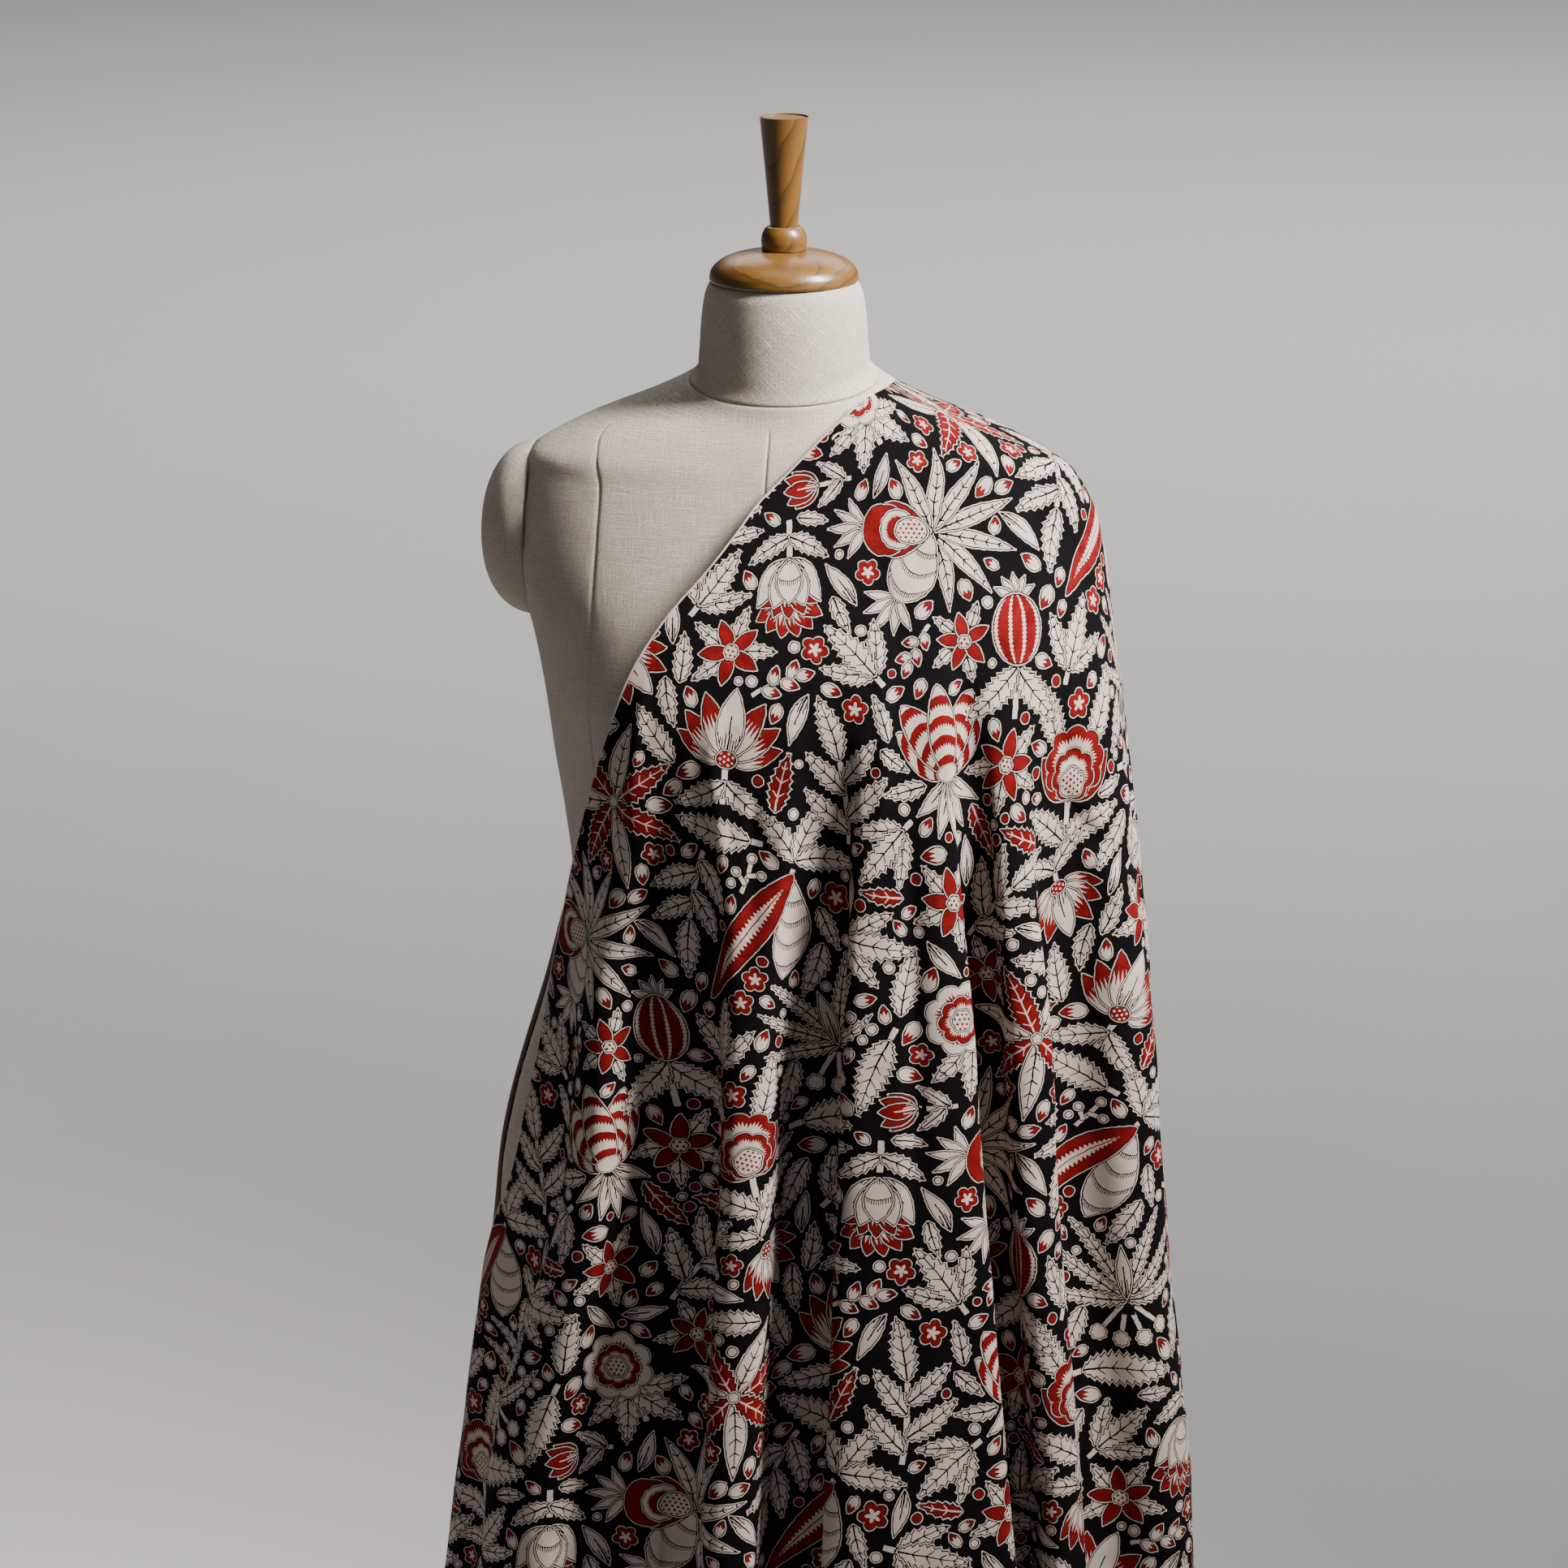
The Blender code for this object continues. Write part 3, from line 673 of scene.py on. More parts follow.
def leaf_wheel() -> list[Stamp]:
    """Return a wheel of red and pale leaves."""
    red = RED | {"teeth": 0.25}
    turns = (-8, 38, 92, 148, 196, 248, 296)
    wheel = [leaf(0, 0, turn, 50, 3, 8.2, **red) if i % 2 == 0
             else blade(0, 0, turn, 52, -5, 6.8, mark=Mark.VEINED) for i, turn in enumerate(turns)]
    return [*wheel, Disc(0, 0, 0, 3.6, 1.0, 5, 0.2)]


def peony() -> list[Stamp]:
    """Return a flower head with scalloped red and pale rings, and leaves below."""
    return [*fan(-14, 0, [120, 155, 205, 240], 44, leaf, 6.0), stem(-40, 0, 0, 22),
            Disc(0, 0, 0, 23, 1.0, 8, 0.20, 0.6, **RAYS),
            Disc(-1, 0, 22, 15, 1.0, 8, 0.18, 0.6, mark=Drawing.ROSE, **RED),
            Disc(-1, 0, 0, 7.0, 1.0, 6, 0.12, **SEEDS)]


def leaf_branch() -> list[Stamp]:
    """Return a curved branch with five toothed leaves."""
    return [stem(0, 0, 0, 54, 7), leaf(7, 0.3, 56, 38, -5), leaf(16, 0.6, -52, 40, 5),
            leaf(31, 2.2, 52, 36, -4), leaf(38, 3.4, -44, 36, 4), leaf(52, 6.5, 14, 42, 4)]


def leaf_trio() -> list[Stamp]:
    """Return three toothed leaves from one foot."""
    return [*pair(lambda s: leaf(0, 0, s * 48, 38, s * -5)), leaf(0, 0, 0, 48, 3), stem(-9, 0, 0, 10)]


def bud_branch() -> list[Stamp]:
    """Return a thin branch with five buds."""
    return [stem(0, 0, 0, 30, 5, 0.8), bud(7, 0.5, 48), bud(14, 1, -44), bud(20, 2.5, 50),
            bud(26, 3.5, -38), bud(30, 5, 16)]


def berry_branch() -> list[Stamp]:
    """Return a thin branch with four berries."""
    return [stem(0, 0, 0, 22, 2, 0.8), stem(6, 0.2, 60, 8, 0, 0.8), stem(12, 0.6, -60, 8, 0, 0.8),
            berry(11, 9.4, 3.0), berry(17.0, -8.4, 3.0), berry(25, 2.4, 3.2)]


def flower_branch() -> list[Stamp]:
    """Return a forked stem with three small pale flowers and a leaf."""
    return [stem(0, 0, 0, 28, 3, 0.9), stem(12, 0.6, 46, 12, 0, 0.9), leaf(8, 0, -52, 28, 3),
            Disc(24, 13, 20, 6.6, 1.0, 5, 0.26, 0.6), Disc(34, 4, 0, 6.8, 1.0, 5, 0.26, 0.6)]


def red_cup() -> list[Stamp]:
    """Return a small red flower of five pointed petals on a leafy stem."""
    red = RED | {"mark": Mark.HATCHED}
    return [stem(-24, 0, 0, 24, 0, 0.9), leaf(-20, 0, 46, 24, -3), leaf(-17, 0, -48, 22, 3),
            *pair(lambda s: petal(0, 0, s * 48, 20, 4.4, s * -4, **red)),
            *pair(lambda s: petal(0, 0, s * 22, 23, 5.0, 0, **red)), petal(0, 0, 0, 23, 5.2, 0, **red)]


def red_wheel() -> list[Stamp]:
    """Return a small wheel of red petals with pale tips between leaves."""
    return [*[leaf(0, 0, turn, 27, 2) for turn in (36, 108, 252, 324)],
            *[petal(0, 0, turn, 19, 4.2, body=Ink.RED, mark=Mark.PLAIN) for turn in range(0, 360, 72)],
            Disc(0, 0, 0, 4.4, 1.0, 6, 0.12, **SEEDS)]


def cups() -> list[Stamp]:
    """Return two small cups of red-tipped petals on one stem, with a leaf."""
    two = [placed([*pair(lambda s: petal(0, 0, s * 27, 17, 3.8, s, 1.0, 0.7)),
                   petal(0, 0, 0, 16, 4.4, 0, 0.9, 0.6, **HATCHES)], x, y, turn)
           for x, y, turn in ((14, 5, 30), (19, -3, -14))]
    return [stem(-4, 0, 0, 24, -3, 0.9), stem(2, 0, 20, 13, 0, 0.9), *two[0], *two[1],
            leaf(0, 0, -62, 26, 4)]


class Motif(NamedTuple):
    """A motif's place in the tile, in mm, its direction, size and hand."""

    make: Callable[[], list[Stamp]]
    x: float
    y: float
    turn: float
    size: float = 1.0
    hand: int = 1


MOTIFS = tuple(Motif(*row) for row in (
    (tulip, 46, 66, 90, 1.05), (rose, 150, 58, 92, 1.05), (pomegranate, 104, 140, 84, 1.0),
    (palm, 226, 104, 98, 1.02), (fruit_pair, 62, 208, 8, 0.98), (pod, 184, 196, 30, 0.96),
    (bell, 268, 22, 262, 0.98), (leaf_wheel, 120, 284, 20, 1.0), (lotus, 206, 292, 66, 1.0),
    (peony, 26, 306, 110, 0.98), (leaf_branch, 268, 226, 76, 0.95), (leaf_branch, 66, 346, 48, 0.88, -1),
    (lotus, 154, 370, -62, 0.8, -1), (leaf_trio, 262, 172, -20, 0.9), (leaf_trio, 8, 130, 120, 0.9),
    (leaf_trio, 208, 6, 40, 0.85),
))
FILLERS = (
    lambda: [stem(-9, 0, 0, 11), leaf(0, 0, 0, 56, 6)], leaf_trio, leaf_branch, red_wheel, red_cup,
    flower_branch, cups, bud_branch, lambda: [leaf(0, 0, 0, 42, 4)], berry_branch,
    lambda: [leaf(0, 0, 0, 34, 3, 6.4, teeth=0.28, **RED)],
    lambda: [leaf(0, 0, 0, 30, -4)], lambda: [blade(0, 0, 0, 30, 4, 4.6)],
    lambda: [Disc(0, 0, 18, 8.4, 1.0, 5, 0.34, 0.8, mark=Drawing.STARRED, **RED)],
    lambda: [leaf(0, 0, 0, 22, 2, 4.8)], lambda: [bud(0, 0, 0, 15)], lambda: [bud(0, 0, 0, 12)],
)
FILLER_GROUPS = (4, 9, 14, 17)


def placed(parts: Sequence[Stamp], x: float, y: float, turn: float, size: float = 1.0,
           hand: int = 1) -> list[Stamp]:
    """Return a motif's stamps at their place in the tile.

    Args:
        parts: the stamps round the motif's own origin.
        x, y: where that origin goes, in mm.
        turn: the motif's direction in degrees.
        size: how much larger it is made.
        hand: 1, or -1 for its mirror image.
    """
    moved = []
    for part in parts:
        px, py = rotated(size * part.x, size * part.y * hand, math.radians(turn))
        at = {"x": x + px, "y": y + py, "turn": part.turn * hand + turn}
        if isinstance(part, Leaf):
            at |= {"length": part.length * size, "half": part.half * size,
                   "bend": part.bend * size * hand}
        else:
            at |= {"radius": part.radius * size}
        moved.append(part._replace(**at))
    return moved


def wrapped(dx: Array, dy: Array) -> tuple[Array, Array]:
    """Return the offset to the nearest repeat; each column of repeats is half a repeat lower."""
    column = np.round(dx / TILE_WIDE)
    dy = dy - column * TILE_HIGH * 0.5
    return dx - column * TILE_WIDE, dy - np.round(dy / TILE_HIGH) * TILE_HIGH


def middle(part: Stamp) -> tuple[float, float, float]:
    """Return a stamp's middle and how far it reaches from it.

    Args:
        part: the stamp.
    """
    if isinstance(part, Disc):
        return part.x, part.y, part.radius * max(part.stretch, 1.0) + MARGIN
    x, y = rotated(0.5 * part.length, 0.3 * part.bend, math.radians(part.turn))
    return part.x + x, part.y + y, 0.5 * part.length + part.half + 0.5 * abs(part.bend) + MARGIN


def stamp_depth(part: Stamp, px: Array, py: Array) -> tuple[Array, Array, Array]:
    """Work out how deep points of the cloth lie inside the nearest repeat of a stamp.

    Args:
        part: the stamp.
        px, py: the points, in mm.

    Returns:
        The depth in mm, and the foot of that repeat.
    """
    mx, my, _ = middle(part)
    dx, dy = wrapped(px - mx, py - my)
    dx, dy = dx + mx - part.x, dy + my - part.y
    ink = leaf_ink if isinstance(part, Leaf) else disc_ink
    x, y = rotated(dx, dy, -math.radians(part.turn))
    depth = ink(x, y, *[float(value) for value in part[3:]])[0]
    return depth, px - dx, py - dy


def spots(parts: Sequence[Stamp]) -> Array:
    """Return points along the middles and outlines of a motif's stamps, to test for room.

    Args:
        parts: the stamps.
    """
    found = []
    for part in parts:
        if isinstance(part, Leaf):
            t = np.tile(np.linspace(0.0, 1.0, 6), 3)
            side = np.repeat([-1.0, 0.0, 1.0], 6)
            width = part.half * np.maximum(np.sin(math.pi * t ** part.peak), 0.001) ** part.blunt
            x, y = part.length * t, part.bend * t * t + side * width
        else:
            around = np.linspace(0.0, 2.0 * math.pi, 9)[:-1]
            x, y = part.radius * np.cos(around), part.radius * np.sin(around)
        x, y = rotated(x, y, math.radians(part.turn))
        found.append(np.column_stack((part.x + x, part.y + y)))
    return np.concatenate(found)


@dataclass
class Tile:
    """One repeat of the print: the listed motifs, and what fills the gaps.

    Lengths are mm. The room round the stamps is kept at points one pitch apart, as far out as the
    influence. A gap gets a filler down to the smallest room, and a share of the rest gets a berry.
    """

    pitch: float = 2.0
    emptiest: float = -60.0
    influence: float = 24.0
    clear: float = 2.5
    smallest: float = 5.0
    sizes: tuple[float, float] = (0.82, 1.12)
    berries: float = 0.5
    berry_room: float = 2.7
    berry_most: float = 3.2
    seed: int = 7
    turns: int = 18
    stamps: list[Stamp] = field(default_factory=list)

    def __post_init__(self) -> None:
        """Lay the tile out."""
        x = np.arange(self.pitch / 2, TILE_WIDE, self.pitch)
        y = np.arange(self.pitch / 2, TILE_HIGH, self.pitch)
        self.x, self.y = np.meshgrid(x, y)
        self.depth = np.full(self.x.shape, self.emptiest)
        for motif in MOTIFS:
            self.add(placed(motif.make(), *motif[1:]), self.stamps)
        filling: list[Stamp] = []
        rng = np.random.default_rng(self.seed)
        while self.fill(rng, filling):
            pass
        self.stamps = filling + self.stamps

    def add(self, parts: list[Stamp], to: list[Stamp]) -> None:
        """Put stamps into the tile and note the room that they take.

        Args:
            parts: the stamps.
            to: the list that they join.
        """
        for part in parts:
            mx, my, reach = middle(part)
            dx, dy = wrapped(self.x - mx, self.y - my)
            near = np.hypot(dx, dy) < reach + self.influence
            depth = stamp_depth(part, self.x[near], self.y[near])[0]
            self.depth[near] = np.maximum(self.depth[near], depth)
        to.extend(parts)

    def room(self, x: Array, y: Array) -> Array:
        """Return the free distance round points of the cloth.

        Args:
            x, y: the points, in mm.
        """
        column = np.floor(x / TILE_WIDE)
        row = ((y - column * TILE_HIGH * 0.5) % TILE_HIGH / self.pitch).astype(int)
        across = ((x - column * TILE_WIDE) / self.pitch).astype(int)
        return -self.depth[np.minimum(row, self.depth.shape[0] - 1),
                           np.minimum(across, self.depth.shape[1] - 1)]

    def fill(self, rng: np.random.Generator, to: list[Stamp]) -> bool:
        """Put the largest filler that fits into the emptiest place.

        Args:
            rng: the source of the random draws.
            to: the list that the filler's stamps join.

        Returns:
            False when the tile is full.
        """
        k = int(np.argmin(self.depth))
        free = -float(self.depth.flat[k])
        if free < self.smallest:
            return False
        x, y = float(self.x.flat[k]), float(self.y.flat[k])
        turns = np.radians(rng.uniform(0.0, 360.0) + np.arange(self.turns) * 360.0 / self.turns)
        groups = zip((0, *FILLER_GROUPS), FILLER_GROUPS)
        for index in np.concatenate([first + rng.permutation(last - first) for first, last in groups]):
            parts = placed(FILLERS[index](), 0.0, 0.0, 0.0, rng.uniform(*self.sizes), rng.choice((-1, 1)))
            points = spots(parts)
            centre = points.mean(axis=0)
            dx, dy = rotated(*(points - centre).T, turns[:, None])
            slack = self.room(x + dx, y + dy).min(axis=1)
            best = int(np.argmax(slack))
            if slack[best] > self.clear:
                dx, dy = rotated(*centre, turns[best])
                self.add(placed(parts, x - dx, y - dy, math.degrees(turns[best])), to)
                return True
        radius = min(free - self.berry_room, self.berry_most)
        fruit = [berry(x, y, radius, int(rng.choice([Ink.CREAM, Ink.RED])))]
        self.add(fruit, to if rng.random() < self.berries else [])
        return True


@dataclass
class Print:
    """The print on a mesh: which stamps each face carries, top ones first.

    Touch and cover are the shares of a face's reach at which a stamp touches or covers it.
    """

    leaf_slots: int = 6
    disc_slots: int = 2
    touch: float = 1.3
    cover: float = 1.5
    tile: Tile = field(default_factory=Tile)

    def slots(self, stamps: Sequence[Stamp], count: int, centres: Array, reach: Array,
              hidden: Array) -> Array:
        """Give each face the stamps that touch it.

        Args:
            stamps: from the lowest to the top one.
            count: how many a face may carry.
            centres: the faces' middles on the cloth, in mm.
            reach: each face's half diagonal.
            hidden: faces that a stamp covers fully, changed here.

        Returns:
            Twelve numbers for each slot and face.
        """
        table = np.tile(EMPTY, (count, len(centres), 1))
        used = np.zeros(len(centres), dtype=int)
        missed = 0
        for part in reversed(stamps):
            mx, my, far = middle(part)
            dx, dy = wrapped(centres[:, 0] - mx, centres[:, 1] - my)
            near = np.flatnonzero((np.hypot(dx, dy) < far + reach) & ~hidden)
            depth, foot_x, foot_y = stamp_depth(part, centres[near, 0], centres[near, 1])
            touch = depth > -HALO - GAP - self.touch * reach[near]
            room = used[near] < count
            missed += int(np.count_nonzero(touch & ~room & (depth > -HALO)))
            take = touch & room
            at = near[take]
            table[used[at], at, 0] = foot_x[take]
            table[used[at], at, 1] = foot_y[take]
            table[used[at], at, 2] = math.radians(part.turn)
            table[used[at], at, 3:] = [float(value) for value in part[3:]]
            used[at] += 1
            hidden[near[depth > self.cover * reach[near] + 1.0]] = True
        log.info("print slots: mean %.2f used, %d touches missed", used.mean(), missed)
        return table

    def apply(self, mesh: bpy.types.Mesh, centres: Array, reach: Array) -> None:
        """Write the stamps into the mesh as face attributes.

        Args:
            mesh: the cloth's mesh.
            centres: its faces' middles on the cloth, in mm.
            reach: each face's half diagonal.
        """
        hidden = np.zeros(len(centres), dtype=bool)
        stamps = sorted(self.tile.stamps, key=lambda part: isinstance(part, Disc) or part.blunt > 0.1)
        discs = self.slots([part for part in stamps if isinstance(part, Disc)], self.disc_slots,
                           centres, reach, hidden)
        leaves = self.slots([part for part in stamps if isinstance(part, Leaf)], self.leaf_slots,
                            centres, reach, hidden)
        for kind, table in (("leaf", leaves), ("disc", discs)):
            for slot, rows in enumerate(table):
                for at, name in enumerate(("place", "size", "shape", "style")):
                    layer = mesh.attributes.new(f"{kind}_{name}_{slot}", "FLOAT_VECTOR", "FACE")
                    layer.data.foreach_set("vector", rows[:, 3 * at:3 * at + 3].ravel())


def stamp_group(name: str, ink: Callable[..., tuple[Value, Value, Value]]
                ) -> bpy.types.ShaderNodeTree:
    """Return the node group that lays one stamp over the inks below it.

    Args:
        name: the group's name.
        ink: leaf_ink or disc_ink.
    """
    tree = bpy.data.node_groups.new(name, "ShaderNodeTree")
    for socket in ("Point", "Place", "Size", "Shape", "Style", "Below"):
        tree.interface.new_socket(socket, in_out="INPUT", socket_type="NodeSocketVector")
    tree.interface.new_socket("Ink", in_out="OUTPUT", socket_type="NodeSocketVector")
    graph = Graph(tree)
    entry = tree.nodes.new("NodeGroupInput")
    point, place, size, shape, style, below = [Wire(graph, entry.outputs[i]) for i in range(6)]
    fx, fy, turn = graph.split(place)
    local = graph.vector("SUBTRACT", point, graph.join(fx, fy))
    local = graph.node("ShaderNodeVectorRotate", {"Vector": local, "Angle": turn * -1.0},
                       rotation_type="Z_AXIS")
    x, y, _ = graph.split(local)
    depth, line, code = ink(x, y, *graph.split(size), *graph.split(shape), *graph.split(style))
    cream, red, _ = graph.split(below)
    cream, red = stamp_over(cream, red, depth, line, code)
    leave = tree.nodes.new("NodeGroupOutput")
    graph.feed(leave.inputs[0], graph.join(cream, red))
    return tree


@dataclass(frozen=True)
class PrintedCotton:
    """The printed plain-weave cotton: matte, with uneven dye and a fine weave."""

    name: str = "printed_cotton"
    black: Colour = (0.0030, 0.0025, 0.0029)
    cream: Colour = (0.570, 0.474, 0.418)
    red: Colour = (0.105, 0.0038, 0.0048)
    rust: Colour = (0.195, 0.0080, 0.0090)
    faded: float = 1.7
    soiled: float = 0.86
    wobble: float = 0.55
    selvedge: float = 1.5
    thread_pitch: float = 0.54
    thread_height: float = 0.00012
    crumple_height: float = 0.0016
    sheen: float = 0.04

    def material(self, coat: Print) -> bpy.types.Material:
        """Return the material.

        Args:
            coat: the print, for its number of slots.
        """
        made, graph = new_material(self.name)
        point = graph.surface_point("Print")
        drift = graph.vector("SUBTRACT", graph.noise(point, 0.30, 1.0, "Color"), (0.5, 0.5, 0.5))
        drawn = graph.vector("ADD", point, graph.scaled(drift, 2.0 * self.wobble))
        ink = graph.join(0.0, 0.0)
        for kind, formula, slots in (("leaf", leaf_ink, coat.leaf_slots),
                                     ("disc", disc_ink, coat.disc_slots)):
            group = stamp_group(f"{kind} stamp", formula)
            for slot in reversed(range(slots)):
                layers = {name.title(): graph.attribute(f"{kind}_{name}_{slot}")
                          for name in ("place", "size", "shape", "style")}
                node = graph.tree.nodes.new("ShaderNodeGroup")
                node.node_tree = group
                for name, value in ({"Point": drawn, "Below": ink} | layers).items():
                    graph.feed(node.inputs[name], value)
                ink = Wire(graph, node.outputs[0])
        cream, red, _ = graph.split(ink)
        edge = graph.node("ShaderNodeAttribute", {}, "Fac", attribute_name="edge")
        cream = np.maximum(cream, np.less(edge, self.selvedge))
        red = red * np.greater(edge, self.selvedge)

        stain = graph.noise(point, 0.035, 4.0)
        thread = graph.noise(point, 1.7, 2.0)
        ground = graph.mix(stain, self.black, tuple(self.faded * part for part in self.black))
        pale = graph.mix(graph.range(stain, 0.3, 0.7), self.cream,
                         tuple(self.soiled * part for part in self.cream))
        brick = graph.mix(graph.range(graph.noise(point, 0.11, 5.0), 0.3, 0.7), self.red,
                          self.rust)
        colour = graph.mix(red, graph.mix(cream, ground, pale), brick)
        worn = graph.range(thread, 0.25, 0.75, 0.86, 1.10)
        colour = graph.node("ShaderNodeMix", {0: 1.0, 6: colour, 7: graph.join(worn, worn, worn)}, 2,
                            data_type="RGBA", blend_type="MULTIPLY")

        x, y, _ = graph.split(point)
        weave = threads(x, y, self.thread_pitch) * 0.5 + thread
        crumple = graph.bump(graph.noise(point, 0.055, 3.0, rough=0.55), self.crumple_height)
        graph.shade({"Base Color": colour, "Roughness": graph.range(thread, 0.2, 0.8, 0.74, 0.88),
                     "Specular IOR Level": self.sheen,
                     "Normal": graph.bump(weave, self.thread_height, crumple)})
        return made


@dataclass(frozen=True)
class Linen:
    """The form's natural linen: pale greige, with slubs both ways, and flecks."""

    name: str = "linen"
    pale: Colour = (0.560, 0.500, 0.440)
    deep: Colour = (0.340, 0.288, 0.236)
    bright: Colour = (0.740, 0.690, 0.630)
    fleck: Colour = (0.150, 0.110, 0.078)
    bias: float = 0.0
    slub: float = 0.35
    thread_pitch: float = 0.95
    thread_height: float = 0.00035
    uneven_height: float = 0.0012
    sheen: float = 0.20

    def material(self) -> bpy.types.Material:
        """Return the material; its weave lies at the bias angle in degrees."""
        made, graph = new_material(self.name)
        point = graph.node("ShaderNodeVectorRotate", {"Vector": graph.surface_point("Weave"),
                                                      "Angle": math.radians(self.bias)},
                           rotation_type="Z_AXIS")
        x, y, _ = graph.split(point)
        warp = graph.noise(graph.join(x * 1.35, y * 0.055), 1.0, 3.0)
        weft = graph.noise(graph.join(x * 0.045, y * 1.35, 7.0), 1.0, 3.0)
        slubs = np.maximum(graph.range(warp, 0.60, 0.72, 0.0, 0.7), graph.range(weft, 0.60, 0.72))
        grain = (warp + weft) * 0.25 + graph.noise(point, 0.85, 3.0) * 0.5
        broad = graph.noise(point, 0.012, 3.0)
        tone = graph.mix(graph.range(grain, 0.38, 0.58), self.deep, self.pale)
        tone = graph.mix(slubs * self.slub, tone, self.bright)
        tone = graph.mix(graph.range(broad, 0.35, 0.75, 0.0, 0.22), tone, self.deep)
        flecks = graph.range(graph.noise(point, 0.50, 1.0), 0.715, 0.760, 0.0, 0.75)
        relief = threads(x, y, self.thread_pitch) * 0.22 + grain * 1.6 + slubs * 0.6
        uneven = graph.bump(broad, self.uneven_height)
        graph.shade({"Base Color": graph.mix(flecks, tone, self.fleck),
                     "Roughness": graph.range(grain, 0.3, 0.7, 0.92, 0.80),
                     "Specular IOR Level": self.sheen,
                     "Normal": graph.bump(relief, self.thread_height, uneven)})
        return made


@dataclass(frozen=True)
class TurnedWood:
    """Honey-coloured turned wood under a clear gloss."""

    name: str = "turned_wood"
    pale: Colour = (0.160, 0.074, 0.012)
    deep: Colour = (0.034, 0.012, 0.002)
    warm: Colour = (0.120, 0.050, 0.007)
    middle: tuple[float, float, float] = (0.05, 0.16, -0.10)
    rings: float = 260.0
    upright: bool = False
    gloss: float = 0.30
    gloss_rough: float = 0.20
    grain_height: float = 0.00010

    def material(self) -> bpy.types.Material:
        """Return the material; its growth rings run round an axis beside the piece.

        The axis is level for the cap, and upright for the pieces turned between centres.
        """
        made, graph = new_material(self.name)
        point = graph.node("ShaderNodeTexCoord", {}, "Object")
        wave = graph.noise(point, 16.0, 3.0, "Color")
        bent = graph.vector("ADD", point, graph.scaled(wave, 0.020))
        x, y, z = graph.split(graph.vector("SUBTRACT", bent, self.middle))
        if self.upright:
            x, z = z * 0.4, x * 1.8
        radius = np.sqrt(y * y + z * z * 0.30 + x * x * 0.06)
        ring = fraction(radius * self.rings) ** 3.0
        fibre = graph.noise(graph.join(x * 60.0, y * 900.0, z * 900.0), 1.0, 2.0)
        share = ring * 0.62 + graph.range(fibre, 0.35, 0.75, 0.0, 0.30)
        tone = graph.mix(share, self.pale, self.deep)
        tone = graph.mix(graph.range(graph.noise(point, 30.0, 2.0), 0.4, 0.7, 0.0, 0.35), tone,
                         self.warm)
        graph.shade({"Base Color": tone, "Roughness": graph.range(fibre, 0.3, 0.7, 0.32, 0.44),
                     "Coat Weight": self.gloss, "Coat Roughness": self.gloss_rough,
                     "Normal": graph.bump(fibre + ring * 0.4, self.grain_height)})
        return made


@dataclass(frozen=True)
class BlackPaint:
    """Satin black paint on steel, with a faint orange peel and some dust."""

    name: str = "painted_steel"
    colour: Colour = (0.020, 0.020, 0.022)
    dust: Colour = (0.085, 0.080, 0.074)
    peel_height: float = 0.00008

    def material(self) -> bpy.types.Material:
        """Return the material."""
        made, graph = new_material(self.name)
        point = graph.node("ShaderNodeTexCoord", {}, "Object")
        dust = graph.range(graph.noise(point, 26.0, 5.0), 0.50, 0.78, 0.0, 0.35)
        peel = graph.noise(point, 900.0, 1.0)
        graph.shade({"Base Color": graph.mix(dust, self.colour, self.dust),
                     "Roughness": graph.range(dust, 0.0, 0.35, 0.34, 0.52),
                     "Normal": graph.bump(peel, self.peel_height)})
        return made


@dataclass(frozen=True)
class PaleFloor:
    """A plain pale studio floor."""

    name: str = "studio_floor"
    colour: Colour = (0.700, 0.690, 0.670)
    cloudy: float = 0.93
    grain_height: float = 0.0002

    def material(self) -> bpy.types.Material:
        """Return the material."""
        made, graph = new_material(self.name)
        point = graph.node("ShaderNodeTexCoord", {}, "Object")
        cloud = graph.noise(point, 1.4, 4.0)
        shade = tuple(self.cloudy * part for part in self.colour)
        graph.shade({"Base Color": graph.mix(cloud, self.colour, shade),
                     "Roughness": graph.range(cloud, 0.3, 0.7, 0.72, 0.84),
                     "Normal": graph.bump(graph.noise(point, 160.0, 2.0), self.grain_height)})
        return made


def put(name: str, data: bpy.types.ID, place: Sequence[float] = (0.0, 0.0, 0.0),
        aim: Sequence[float] | None = None) -> bpy.types.Object:
    """Put a new object into the scene.

    Args:
        name: its name.
        data: its mesh, light or camera.
        place: where it stands.
        aim: what a light or camera points at.
    """
    made = bpy.data.objects.new(name, data)
    made.location = place
    if aim is not None:
        made.rotation_euler = (Vector(aim) - Vector(place)).to_track_quat("-Z", "Y").to_euler()
    bpy.context.scene.collection.objects.link(made)
    return made


